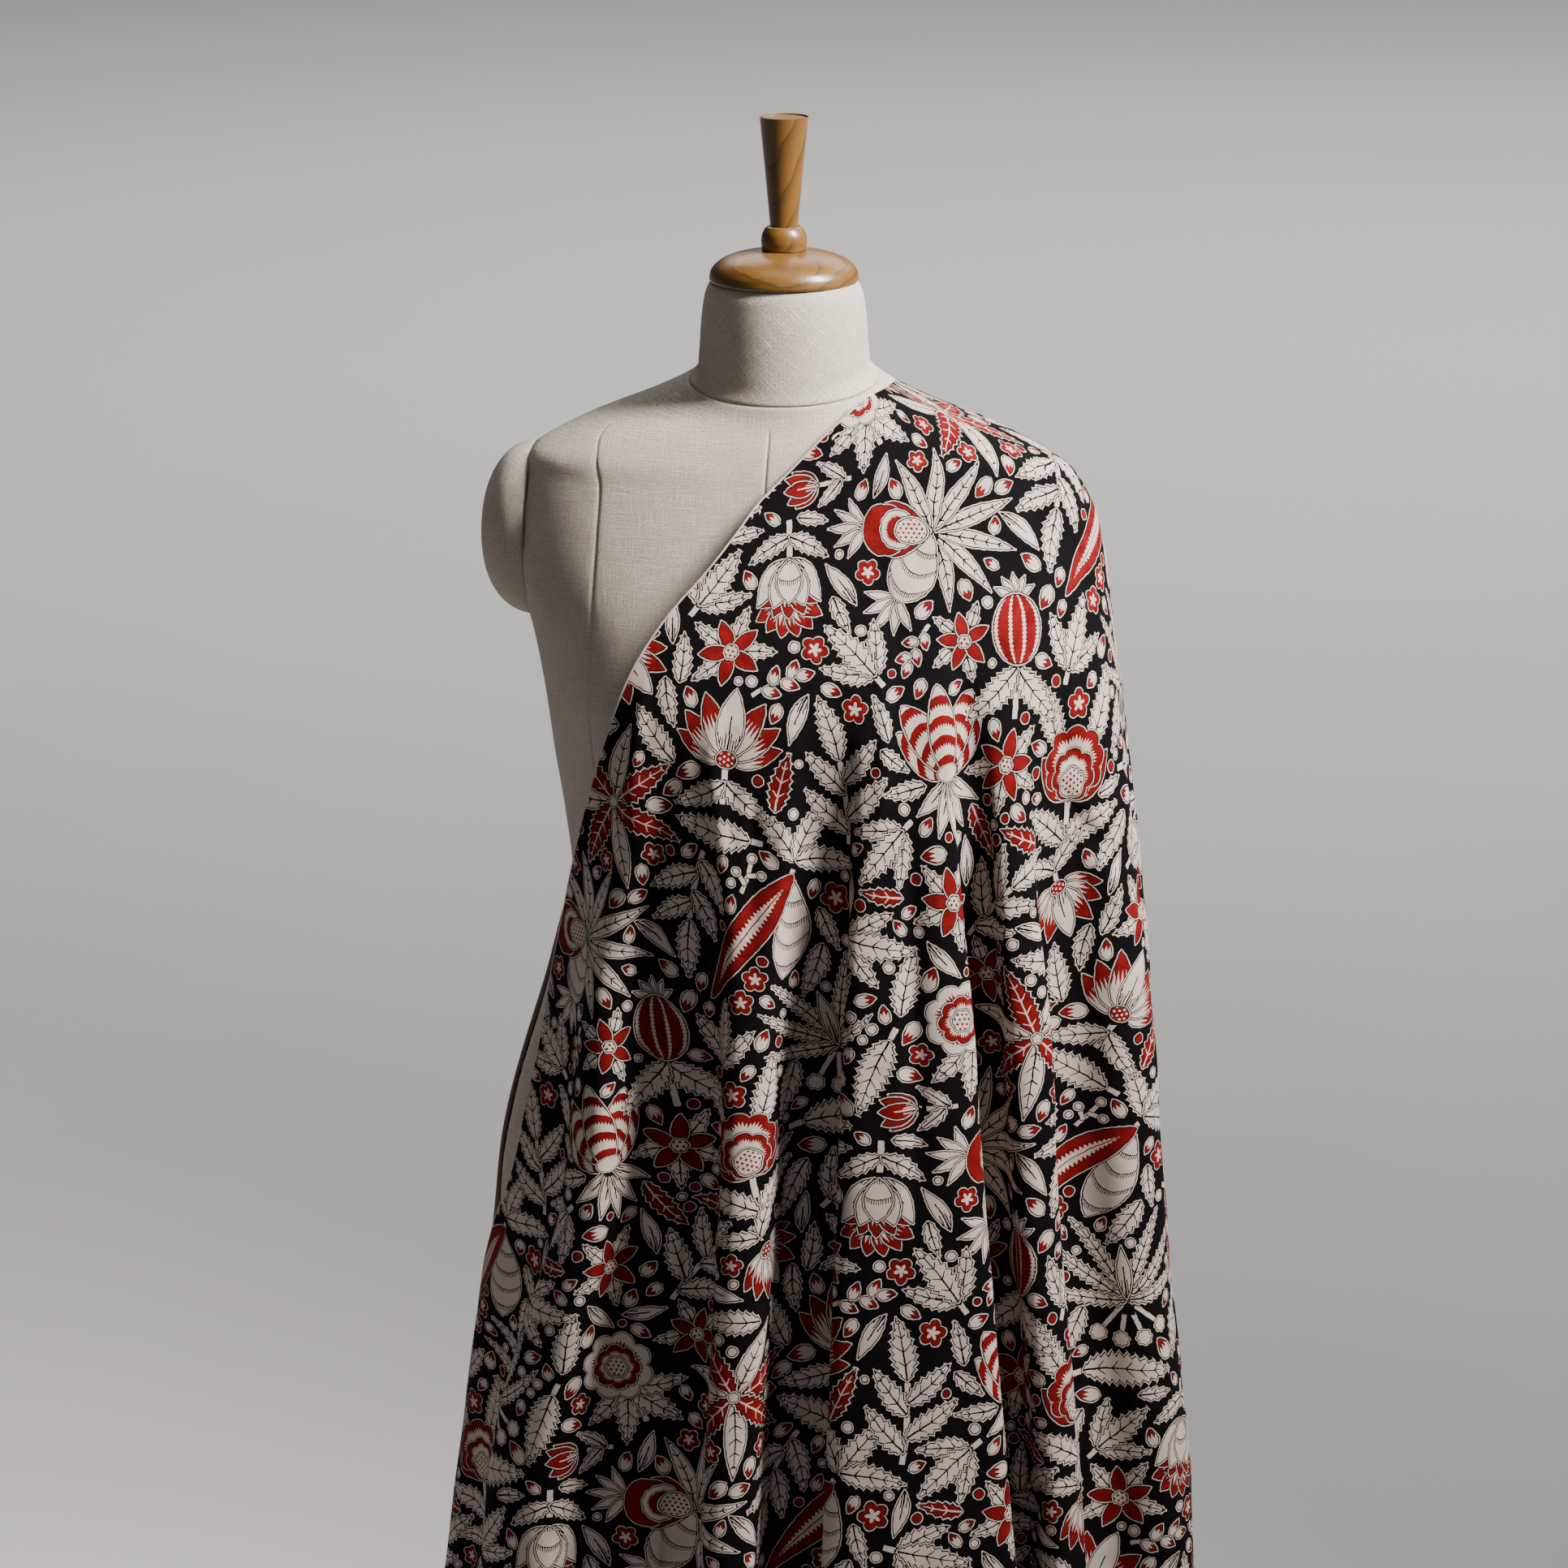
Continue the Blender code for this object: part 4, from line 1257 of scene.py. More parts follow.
@dataclass
class Surface:
    """A surface on a grid of points, made into a mesh.

    Attributes:
        name: the piece's name.
        points: rows by columns by 3.
        uvs: UV maps by name, each rows by columns by 2, with one more column if it is closed.
        closed: whether the last column joins the first.
        capped: whether both ends are closed by a fan.
    """

    name: str
    points: Array
    uvs: dict[str, Array] = field(default_factory=dict)
    closed: bool = False
    capped: bool = False

    def quads(self) -> tuple[Array, Array]:
        """Return the corners of every quad, as rows and as columns of the grid.

        A sheet's rows run down and a capped piece's rows run up, so the corners of a capped piece
        are taken the other way round, for faces that point outwards.
        """
        rows, columns = self.points.shape[:2]
        r, c = np.meshgrid(np.arange(rows - 1), np.arange(columns if self.closed else columns - 1),
                           indexing="ij")
        order = slice(None, None, -1 if self.capped else 1)
        return (np.stack((r, r + 1, r + 1, r), -1).reshape(-1, 4)[:, order],
                np.stack((c, c, c + 1, c + 1), -1).reshape(-1, 4)[:, order])

    def build(self, material: bpy.types.Material) -> bpy.types.Object:
        """Make the mesh, its UV maps and its object.

        Args:
            material: its finish.

        Returns:
            The new object, in the scene.
        """
        rows, columns = self.points.shape[:2]
        r, c = self.quads()
        vertices = self.points.reshape(-1, 3)
        faces = [tuple(face) for face in (r * columns + c % columns).tolist()]
        if self.capped:
            ends = np.stack((self.points[0].mean(axis=0), self.points[-1].mean(axis=0)))
            vertices = np.concatenate((vertices, ends))
            low, high, last = rows * columns, rows * columns + 1, (rows - 1) * columns
            faces += [(low, (i + 1) % columns, i) for i in range(columns)]
            faces += [(high, last + i, last + (i + 1) % columns) for i in range(columns)]
        mesh = bpy.data.meshes.new(self.name)
        mesh.from_pydata(vertices.tolist(), [], faces)
        for name, uv in self.uvs.items():
            layer = mesh.uv_layers.new(name=name)
            corners = uv[r, c].reshape(-1, 2)
            if self.capped:
                corners = np.concatenate((corners, np.tile(uv[0, 0], (6 * columns, 1))))
            layer.data.foreach_set("uv", corners.ravel())
        mesh.materials.append(material)
        mesh.validate()
        mesh.shade_smooth()
        log.info("%s: %d faces", self.name, len(mesh.polygons))
        return put(self.name, mesh)


def run_along(points: Array, axis: int) -> Array:
    """Return the length run along a grid, from 0 at the first point.

    Args:
        points: rows by columns by 3.
        axis: 0 to run down the columns, 1 to run along the rows.
    """
    step = np.linalg.norm(np.diff(points, axis=axis), axis=2)
    start = np.zeros_like(step.take([0], axis=axis))
    return np.concatenate((start, np.cumsum(step, axis=axis)), axis=axis)


def weave_map(points: Array) -> Array:
    """Return millimetres along and across a closed surface.

    Args:
        points: its grid.

    Returns:
        Its UV map, with one more column for the seam.
    """
    ring = np.concatenate((points, points[:, :1]), axis=1)
    u = run_along(ring, 1)
    u = u - 0.5 * u[:, -1:]
    middle_line = ring[:, ring.shape[1] // 2]
    v = np.concatenate(([0.0], np.cumsum(np.linalg.norm(np.diff(middle_line, axis=0), axis=1))))
    return 1000.0 * np.stack((u, np.broadcast_to(v[:, None], u.shape)), -1)


TORSO = tuple(Section(*row) for row in (
    (0.720, 0.1955, 0.118, 0.128, 2.3), (0.780, 0.2020, 0.121, 0.133, 2.3),
    (0.830, 0.2010, 0.120, 0.134, 2.3), (0.890, 0.1900, 0.116, 0.126, 2.3),
    (0.968, 0.1675, 0.108, 0.110, 2.2), (1.044, 0.1485, 0.098, 0.095, 2.2),
    (1.100, 0.1535, 0.105, 0.099, 2.2), (1.144, 0.1600, 0.119, 0.104, 2.2),
    (1.188, 0.1660, 0.126, 0.109, 2.2), (1.232, 0.1745, 0.120, 0.111, 2.3),
    (1.262, 0.1830, 0.110, 0.111, 2.4), (1.300, 0.1865, 0.095, 0.106, 2.4),
    (1.338, 0.1820, 0.080, 0.092, 2.3), (1.353, 0.1755, 0.074, 0.085, 2.3),
    (1.361, 0.1640, 0.070, 0.080, 2.2), (1.377, 0.1315, 0.063, 0.069, 2.1),
    (1.390, 0.0960, 0.059, 0.061, 2.0), (1.399, 0.0750, 0.057, 0.058, 2.0),
    (1.404, 0.0665, 0.0565, 0.0570, 2.0),
))
NECK = tuple(Section(*row) for row in (
    (1.4043, 0.0660, 0.0563, 0.0568, 2.0), (1.4110, 0.0602, 0.0553, 0.0557, 2.0),
    (1.4220, 0.0584, 0.0548, 0.0552, 2.0), (1.4400, 0.0571, 0.0540, 0.0544, 2.0),
    (1.4560, 0.0553, 0.0526, 0.0530, 2.0), (1.4660, 0.0529, 0.0507, 0.0512, 2.0),
    (1.4705, 0.0505, 0.0486, 0.0491, 2.0),
))


@dataclass
class DressForm:
    """The linen-covered torso, neck and arm stumps.

    Sizes and places are metres and angles degrees. A seam is a groove between two low swells, and
    a joint is the small step where one part meets another.
    """

    torso_floor: float = 0.720
    torso_rows: int = 132
    neck_seam: float = 1.404
    neck_lean: float = 0.20
    lean_foot: float = 1.36
    neck_top: float = 1.4705
    neck_grid: tuple[int, int] = (48, 144)
    armhole_x: float = 0.174
    armhole_floor: float = 1.150
    bust_angle: float = 34.0
    bust_height: float = 1.185
    bust_rise: float = 0.014
    bust_width: float = 17.0
    bust_drop: float = 0.050
    stump_middle: float = 1.295
    stump_rise: float = 0.0600
    stump_drop: float = 0.0620
    stump_depth: float = 0.0465
    stump_reach_out: float = 0.0370
    stump_round: tuple[float, float] = (0.92, 0.74)
    stump_grid: tuple[int, int] = (30, 96)
    stump_turn: float = 84.0
    stump_tip: float = 8.0
    seam_depth: float = 0.0011
    seam_width: float = 0.0008
    seam_top: float = 1.386
    seam_fade: float = 0.006
    seam_steps: tuple[float, ...] = (0.0, 0.008, 0.017, 0.030, 0.060, 0.12, 0.20, 0.30, 0.40, 0.5, 0.6,
                                     0.70, 0.80, 0.88, 0.94, 0.970, 0.983, 0.992)
    seamless: tuple[int, int] = (2, 6)
    swell: float = 0.00015
    swell_off: float = 0.005
    swell_width: float = 0.004
    princess_x: float = 0.116
    princess_most: float = 0.975
    princess_soft: int = 6
    side_seam: float = 90.0
    back_seam: float = 142.0
    joint_gap: float = 0.0003
    joint_width: float = 0.0010
    torso_joint: float = 0.0006
    neck_joint: float = 0.0007
    stump_joint: float = 0.006
    stump_joint_turn: float = 0.02

    def section_reach(self, rows: Sequence[Section], angle: Array, height: Array) -> Array:
        """Return a table's distance from the axis at angles in radians and heights."""
        half = along(rows, "half", height)
        return outline(angle, half, half, along(rows, "front", height), along(rows, "back", height),
                       along(rows, "square", height))

    def torso_reach(self, angle: Array, height: Array) -> Array:
        """Return the torso's distance from the axis, with the bust and the flat armholes.

        Args:
            angle, height: where, in radians and metres.
        """
        radius = self.section_reach(TORSO, angle, height)
        level = hump(height - self.bust_height, self.bust_drop)
        for side in (-self.bust_angle, self.bust_angle):
            radius = radius + self.bust_rise * level * hump(np.degrees(angle) - side, self.bust_width)
        flat = self.armhole_x / np.maximum(np.abs(np.sin(angle)), 0.01)
        return np.where(height > self.armhole_floor, np.minimum(radius, flat), radius)

    def stump_reach(self, angle: Array, height: Array) -> Array:
        """Return the left stump's distance from the axis, or 0 where a ray misses it.

        The ray meets an ellipse round the armhole's middle, so the distance solves
        square r^2 + linear r + (armhole_x / out)^2 - 1 = 0.

        Args:
            angle, height: where, in radians and metres.
        """
        rise = np.where(height > self.stump_middle, self.stump_rise, self.stump_drop)
        level = np.sqrt(np.maximum(1.0 - ((height - self.stump_middle) / rise) ** 2, 1e-6))
        deep, out = self.stump_depth * level, self.stump_reach_out * level
        square = np.sin(angle) ** 2 / out ** 2 + np.cos(angle) ** 2 / deep ** 2
        linear = -2.0 * self.armhole_x * np.sin(angle) / out ** 2
        room = linear ** 2 - 4.0 * square * (self.armhole_x ** 2 / out ** 2 - 1.0)
        radius = (-linear + np.sqrt(np.maximum(room, 0.0))) / (2.0 * square)
        hit = (room > 0.0) & (np.sin(angle) > 0.0) & (np.abs(height - self.stump_middle) < rise)
        return np.where(hit, radius, 0.0)

    def seam_angles(self, height: Array) -> Array:
        """Return the angles of the long seams, from the back round and back to it.

        The front ones stand at the princess seam's place, as far as the torso is wide enough.

        Args:
            height: the rows' heights.

        Returns:
            Radians, rows by nine, where the first and the last are the same line.
        """
        angle = np.linspace(-math.pi / 2, 0.0, 400)[None, :]
        x = -self.torso_reach(angle, height[:, None]) * np.sin(angle)
        wanted = np.minimum(self.princess_x, self.princess_most * x[:, 0])
        front = angle[0][np.argmin(np.abs(x - wanted[:, None]), axis=1)]
        soft = self.princess_soft
        mean = np.ones(2 * soft + 1) / (2 * soft + 1)
        front = np.convolve(np.pad(front, soft, mode="edge"), mean, mode="valid")
        back = np.full(len(height), -math.radians(self.back_seam))
        side = np.full(len(height), -math.radians(self.side_seam))
        zero = np.zeros(len(height))
        return np.stack((zero - math.pi, back, side, front, zero, -front, -side, -back,
                         zero + math.pi), axis=1)

    def ring_points(self, radius: Array, angle: Array, height: Array, lean: Array) -> Array:
        """Return points at radius and angle, leaning up towards the back."""
        x, y = radius * np.sin(angle), -radius * np.cos(angle)
        return np.stack((x, y, height + lean * y), -1)

    def torso(self) -> Surface:
        """Return the torso: columns follow the seams, which are soft grooves."""
        even = np.linspace(0.0, 1.0, self.torso_rows)
        height = self.torso_floor + (self.neck_seam - self.torso_floor) * (1.0 - (1.0 - even) ** 1.25)
        seams = self.seam_angles(height)
        count = seams.shape[1] - 1
        first = np.repeat(np.arange(count), len(self.seam_steps))
        t = np.tile(self.seam_steps, count)
        width = seams[:, first + 1] - seams[:, first]
        angle = seams[:, first] + width * t
        level = height[:, None] + 0.0 * angle
        radius = self.torso_reach(angle, level)
        near = np.minimum(t, 1.0 - t) * width * radius
        seamless = np.isin(np.where(t < 0.5, first, first + 1), self.seamless)
        groove = self.seam_depth * hump(near, self.seam_width)
        swell = self.swell * hump(near - self.swell_off, self.swell_width)
        faded = ease((self.seam_top - level) / self.seam_fade)
        radius = radius + np.where(seamless, 0.0, (swell - groove) * faded)
        radius = radius - self.torso_joint * hump(self.neck_seam - level, self.joint_width)
        lean = self.neck_lean * ease((level - self.lean_foot) / (self.neck_seam - self.lean_foot))
        points = self.ring_points(radius, angle, level, lean)
        return Surface("linen_torso", points, {"Weave": weave_map(points)}, True, True)

    def neck(self) -> Surface:
        """Return the neck block, with its foot turned in at the seam."""
        rows, columns = self.neck_grid
        height = np.linspace(self.neck_seam + self.joint_gap, self.neck_top, rows)[:, None]
        angle = np.linspace(-math.pi, math.pi, columns, endpoint=False)[None, :]
        radius = self.section_reach(NECK, angle, height)
        radius = radius - self.neck_joint * hump(height - self.neck_seam, self.joint_width)
        lean = self.neck_lean * (1.0 - ease((height - self.neck_seam) / (self.neck_top - self.neck_seam)))
        points = self.ring_points(radius, angle, height + 0.0 * angle, lean)
        return Surface("linen_neck", points, {"Weave": weave_map(points)}, True, True)

    def stump(self, name: str, side: float) -> Surface:
        """Return one rounded arm stump.

        Args:
            name: the piece's name.
            side: 1 for the left stump and -1 for the right one.
        """
        rows, columns = self.stump_grid
        turn = np.radians(np.linspace(0.0, self.stump_turn, rows))[:, None]
        angle = np.linspace(0.0, 2.0 * math.pi, columns, endpoint=False)[None, :] * side
        upper = ease(0.5 + 0.5 * np.sin(angle))
        rise = np.where(np.sin(angle) > 0, self.stump_rise, self.stump_drop)
        top, foot = self.stump_round
        shrink = np.cos(turn) ** (foot + (top - foot) * upper)
        shrink = shrink - self.stump_joint * hump(turn, self.stump_joint_turn)
        x = self.armhole_x + self.joint_gap + self.stump_reach_out * np.sin(turn) + 0.0 * angle
        points = np.stack((side * x, self.stump_depth * shrink * np.cos(angle),
                           self.stump_middle + rise * shrink * np.sin(angle)), -1)
        run = 1000.0 * run_along(points, 0)
        run = (run[-1] - run + self.stump_tip)[..., None] * np.stack((np.cos(angle), np.sin(angle)), -1)
        flat = np.concatenate((run, run[:, :1]), axis=1)
        return Surface(name, points, {"Weave": flat}, True, True)

    def dress(self) -> None:
        """Build the linen pieces and set them in place of their solids."""
        straight = Linen().material()
        bias = Linen(name="linen_bias", bias=45.0, slub=0.85).material()
        pieces = ((self.torso(), "torso", straight), (self.neck(), "neck", bias),
                  (self.stump("linen_stump_left", 1.0), "arm_stump_left", straight),
                  (self.stump("linen_stump_right", -1.0), "arm_stump_right", straight))
        for surface, node, finish in pieces:
            piece = surface.build(finish)
            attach(piece, "root")
            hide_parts(node)


DRAPE = tuple(Drape(*row) for row in (
    (1.4030, 0.0700, 0.060, 0.058, 0.058, 2.0), (1.3836, 0.1150, 0.110, 0.063, 0.066, 2.1),
    (1.3672, 0.1540, 0.145, 0.071, 0.078, 2.2), (1.3474, 0.1890, 0.160, 0.082, 0.091, 2.6),
    (1.3224, 0.2090, 0.165, 0.096, 0.104, 2.9), (1.2934, 0.2180, 0.170, 0.109, 0.112, 3.0),
    (1.2558, 0.2245, 0.172, 0.127, 0.117, 2.9), (1.2258, 0.2290, 0.172, 0.141, 0.119, 2.7),
    (1.1940, 0.2340, 0.171, 0.151, 0.121, 2.6), (1.1390, 0.2405, 0.167, 0.155, 0.123, 2.5),
    (1.0500, 0.2485, 0.160, 0.158, 0.127, 2.4), (0.9860, 0.2535, 0.170, 0.160, 0.131, 2.4),
    (0.8800, 0.2605, 0.197, 0.163, 0.142, 2.3), (0.7790, 0.2690, 0.211, 0.166, 0.148, 2.3),
    (0.6650, 0.2825, 0.225, 0.170, 0.152, 2.3), (0.5380, 0.2885, 0.239, 0.174, 0.156, 2.3),
    (0.170, 0.3010, 0.264, 0.184, 0.166, 2.3),
))
EDGES = tuple(Edge(*row) for row in (
    (1.4030, 52.0, 107.0), (1.3970, 43.0, 112.0), (1.3891, 33.5, 120.0), (1.3780, 22.0, 130.0),
    (1.3687, 14.0, 137.0), (1.3484, -2.0, 150.0), (1.3382, -9.0, 156.0), (1.3145, -18.5, 171.0),
    (1.2938, -25.0, 181.0), (1.2650, -33.0, 196.0), (1.2413, -37.0, 204.0), (1.1829, -43.5, 220.0),
    (1.1175, -53.0, 234.0), (1.0292, -68.0, 248.0), (0.9290, -68.5, 256.0), (0.8600, -70.0, 260.0),
    (0.7900, -82.0, 260.0), (0.7000, -98.0, 256.0), (0.5600, -103.0, 253.0), (0.170, -106.0, 249.0),
))
FOLDS = tuple(Fold(*row) for row in (
    ("front_edge", -70.0, -106.0, 0.002, 0.80, 0.6), ("hip_ridge", -64.0, -94.0, 0.004, 0.84, 0.9),
    ("hip_valley", -57.0, -78.0, -0.013, 1.00, 1.0), ("outer_ridge", -44.0, -54.5, 0.017, 1.25, 0.6),
    ("outer_valley", -33.5, -43.5, -0.020, 1.23, 0.9), ("valley_floor", -28.0, -36.0, -0.019, 1.21, 0.7),
    ("deep_valley", -20.2, -25.6, -0.024, 1.19, 0.9), ("middle_ridge", -9.4, -15.9, 0.012, 1.18, 0.7),
    ("centre_valley", 9.6, -8.0, -0.026, 1.26, 1.75), ("box_ridge_left", 21.3, 16.5, 0.018, 1.28, 0.3),
    ("box_ridge_right", 35.4, 46.8, 0.020, 1.28, 1.75), ("box_valley", 43.7, 55.0, -0.025, 1.26, 1.90),
    ("arm_ridge_left", 49.2, 57.0, 0.018, 1.26, 1.1), ("arm_valley", 59.0, 65.5, -0.022, 1.27, 0.5),
    ("arm_ridge_right", 72.0, 77.5, 0.015, 1.28, 1.0), ("side_valley", 83.0, 87.0, -0.012, 1.28, 1.0),
    ("side_ridge", 93.0, 95.0, 0.004, 1.27, 1.2), ("rear_side_valley", 102.0, 102.0, -0.014, 1.25, 0.8),
    ("slit_ridge", 112.0, 112.0, 0.008, 1.20, 0.8), ("back_valley_1", 123.0, 124.0, -0.014, 1.20, 1.3),
    ("back_ridge_1", 136.0, 138.0, 0.016, 1.20, 1.0), ("back_valley_2", 149.0, 151.0, -0.013, 1.15, 0.8),
    ("back_ridge_2", 163.0, 165.0, 0.015, 1.15, 1.6), ("back_valley_3", 177.0, 178.0, -0.015, 1.10, 0.9),
    ("back_ridge_3", 192.0, 193.0, 0.015, 1.08, 0.9), ("back_valley_4", 207.0, 207.0, -0.013, 1.04, 1.3),
    ("back_ridge_4", 222.0, 221.0, 0.013, 1.00, 0.8), ("back_valley_5", 235.0, 235.0, -0.010, 0.94, 0.7),
    ("back_edge", 248.0, 249.0, 0.004, 0.80, 0.0),
))
CREASES = tuple(Crease(*row) for row in (
    (58.0, 1.165, 69.0, 1.100, 0.0055, 0.0022), (60.0, 1.140, 70.0, 1.075, 0.0050, -0.0020),
    (62.0, 1.115, 72.0, 1.040, 0.0055, 0.0020), (56.0, 1.188, 66.0, 1.150, 0.0050, -0.0016),
    (64.0, 1.075, 71.0, 1.000, 0.0045, -0.0015), (-14.0, 1.190, 24.0, 0.985, 0.0120, 0.0020),
    (20.0, 1.250, 37.0, 1.120, 0.0140, -0.0018), (-34.0, 1.120, 2.0, 0.985, 0.0110, -0.0016),
    (-40.0, 1.060, -14.0, 0.940, 0.0100, 0.0015), (44.0, 1.330, 58.0, 1.205, 0.0120, 0.0016),
    (30.0, 1.335, 30.0, 1.190, 0.0130, -0.0014), (66.0, 1.345, 74.0, 1.240, 0.0100, -0.0018),
    (80.0, 0.800, 92.0, 0.745, 0.0060, 0.0016), (72.0, 0.770, 84.0, 0.700, 0.0055, -0.0014),
    (-60.0, 0.900, -38.0, 0.840, 0.0080, 0.0014), (34.0, 0.900, 46.0, 0.760, 0.0090, 0.0012),
    (-18.8, 1.220, -11.7, 0.990, 0.0090, 0.0042), (4.0, 1.215, -4.5, 0.985, 0.0090, 0.0040),
    (-7.0, 1.180, -7.9, 1.010, 0.0070, -0.0030), (29.6, 1.190, 28.6, 0.780, 0.0090, -0.0046),
    (25.3, 1.245, 22.0, 1.100, 0.0060, 0.0030), (43.0, 1.245, 40.5, 1.120, 0.0080, -0.0040),
    (60.0, 1.210, 60.6, 1.110, 0.0080, -0.0030), (-34.0, 1.235, -38.0, 1.110, 0.0070, 0.0032),
))


@dataclass
class Cloth:
    """The printed cloth: one sheet with its folds, creases and turned-under edges.

    Heights, widths and depths are metres, and angles are degrees. Outside the pivots the fold
    lines close up to the sheet's edges. The steps count from one fold line to the next. An arc is
    the mean radius that makes a length of an angle. The net is the flat layout's, and the anchor
    is the place among the fold lines that it leaves alone.
    """

    form: DressForm
    hem: float = 0.170
    shoulder_top: float = 1.4030
    waist: float = 1.040
    collar_dip: float = 0.006
    dip_reach: float = 0.030
    slit_top: float = 0.930
    slit_opening: tuple[float, float] = (1.5, 3.6)
    front_pivot: float = 26.0
    back_pivot: float = 136.0
    fold_top: float = 1.35
    fold_fade: float = 0.17
    fold_reach: float = 0.34
    clearance: float = 0.0015
    lift: float = 0.0028
    skim: float = 0.0008
    rows: int = 220
    fine_rows: int = 600
    steps: int = 16
    even_share: float = 0.60
    turn_in: tuple[float, float, float] = (0.0004, 0.0040, 0.0085)
    turn_thick: float = 0.0008
    turn_gap: float = 0.0003
    edge_swell: float = 0.012
    edge_mark: float = 0.3
    arc: float = 0.19
    crease_arc: float = 0.20
    crease_ends: float = 3.0
    ripple: tuple[float, float] = (0.0016, 0.0007)
    ripple_least: float = 0.35
    print_size: float = 1.14
    taper: float = 0.38
    deepened: float = 1.30
    net_rows: int = 74
    net_step: int = 8
    net_rounds: int = 1200
    net_pull: float = 0.25
    anchor: float = 9.5
    flat: tuple[float, float] = (2.05, 1.28)
    cut_area: float = 1.875

    def heights(self) -> Array:
        """Return the rows' heights at the arm side, evenly spaced along the sheet and then wider."""
        height = np.linspace(self.shoulder_top, self.hem, self.fine_rows)
        side = along(DRAPE, "right", height)
        run = np.concatenate(([0.0], np.cumsum(np.hypot(np.diff(side), np.diff(height)))))
        even = np.linspace(0.0, 1.0, self.rows)
        spaced = self.even_share * even + (1.0 - self.even_share) * even ** 2
        return np.interp(spaced * run[-1], run, height)

    def fold_lines(self, height: Array, front: Array, back: Array) -> Array:
        """Place the fold lines; outside the pivots they close up to the edges.

        Args:
            height: the rows' heights.
            front, back: the angles of the sheet's edges there.

        Returns:
            Angles in degrees, rows by folds.
        """
        waist, hem = values_of(FOLDS, "waist"), values_of(FOLDS, "hem")
        lines = waist + (hem - waist) * (self.waist - height) / (self.waist - self.hem)
        first, last = lines[:, :1], lines[:, -1:]
        share = (self.front_pivot - lines) / (self.front_pivot - first)
        near_front = lines + (front - first) * np.maximum(share, 0.0) ** 3
        near_back = self.back_pivot + (lines - self.back_pivot) * (
            back - self.back_pivot) / (last - self.back_pivot)
        lines = np.where(lines < self.front_pivot, near_front,
                         np.where(lines > self.back_pivot, near_back, lines))
        even = front + (back - front) * np.linspace(0.0, 1.0, len(FOLDS))
        return even + (lines - even) * ease((self.fold_top - height) / self.fold_fade)

    def form_reach(self, angle: Array, height: Array) -> Array:
        """Return how far out the cloth is where it lies on the torso or the stump.

        Args:
            angle, height: where, in radians from the camera's side and metres.
        """
        turned = (angle + math.radians(DRAPE_TURN) + math.pi) % (2.0 * math.pi) - math.pi
        radius = np.zeros(np.broadcast(angle, height).shape)
        for lower in (0.0, 0.5 * self.lift, self.lift):
            radius = np.maximum(radius, self.form.torso_reach(turned, height - lower))
            radius = np.maximum(radius, self.form.stump_reach(turned, height - lower))
        return radius + self.clearance

    def reach(self, angle: Array, height: Array) -> Array:
        """Return the cloth's distance from the axis without folds."""
        hang = outline(angle, *(along(DRAPE, name, height)
                                for name in ("right", "left", "front", "back", "square")))
        return smooth_max(self.form_reach(angle, height), hang)

    def crease_out(self, degrees: Array, height: Array) -> Array:
        """Return how far the creases stand out: depth e^-(d / width)^2, faded towards both ends.

        Args:
            degrees: angles on the cloth.
            height: heights there.
        """
        out = np.zeros(degrees.shape)
        scale = math.radians(1.0) * self.crease_arc
        for crease in CREASES:
            ax, ay = (crease.to_angle - crease.angle) * scale, crease.to_height - crease.height
            length = math.hypot(ax, ay)
            px, py = (degrees - crease.angle) * scale, height - crease.height
            t = (px * ax + py * ay) / length ** 2
            off = (px * ay - py * ax) / length
            ends = ease(self.crease_ends * t) * ease(self.crease_ends * (1.0 - t))
            out += crease.depth * hump(off, crease.width) * ends
        return out

    def place(self, degrees: Array, height: Array, out: Array) -> Array:
        """Return points of the cloth, never sunk into the form.

        Args:
            degrees: their angles.
            height: their heights.
            out: how far they stand out along the plain outline's normal.
        """
        angle = np.radians(degrees)
        radius = self.reach(angle, height)
        nudge = math.radians(1.0)
        slope = (self.reach(angle + nudge, height) - self.reach(angle - nudge, height)) / (2.0 * nudge)
        tilt = angle - np.arctan2(slope, radius)
        x = radius * np.sin(angle) + out * np.sin(tilt)
        y = -radius * np.cos(angle) - out * np.cos(tilt)
        placed_at = np.arctan2(x, -y)
        radius = smooth_max(self.form_reach(placed_at, height), np.hypot(x, y), self.skim)
        turned = placed_at + math.radians(DRAPE_TURN)
        return np.stack((radius * np.sin(turned), -radius * np.cos(turned), height), -1)

    def sheet(self, folded: bool) -> Array:
        """Return the sheet's points, rows by columns.

        Between two fold lines the depth runs as a half cosine. The place runs ahead by the first
        line's overlap times sin(2 pi t) / 2 pi, so a flank with an overlap over 1 turns under.

        Args:
            folded: whether it has its folds, or is the plain outline.
        """
        count = len(FOLDS) - 1
        top = self.heights()[:, None]
        run = np.linspace(0.0, self.shoulder_top - self.hem, self.rows)[:, None]
        dip = self.collar_dip * np.exp(-run / self.dip_reach)
        front, back = along(EDGES, "front", top - dip), along(EDGES, "back", top - dip)
        lines = self.fold_lines(top, front, back)
        grown = ease((values_of(FOLDS, "start") - top) / self.fold_reach) * float(folded)
        fullness = 1.0 - self.taper * (top - self.hem) / (self.shoulder_top - self.hem)
        depth = values_of(FOLDS, "depth") * grown * fullness * self.deepened
        overlap = values_of(FOLDS, "overlap") * grown

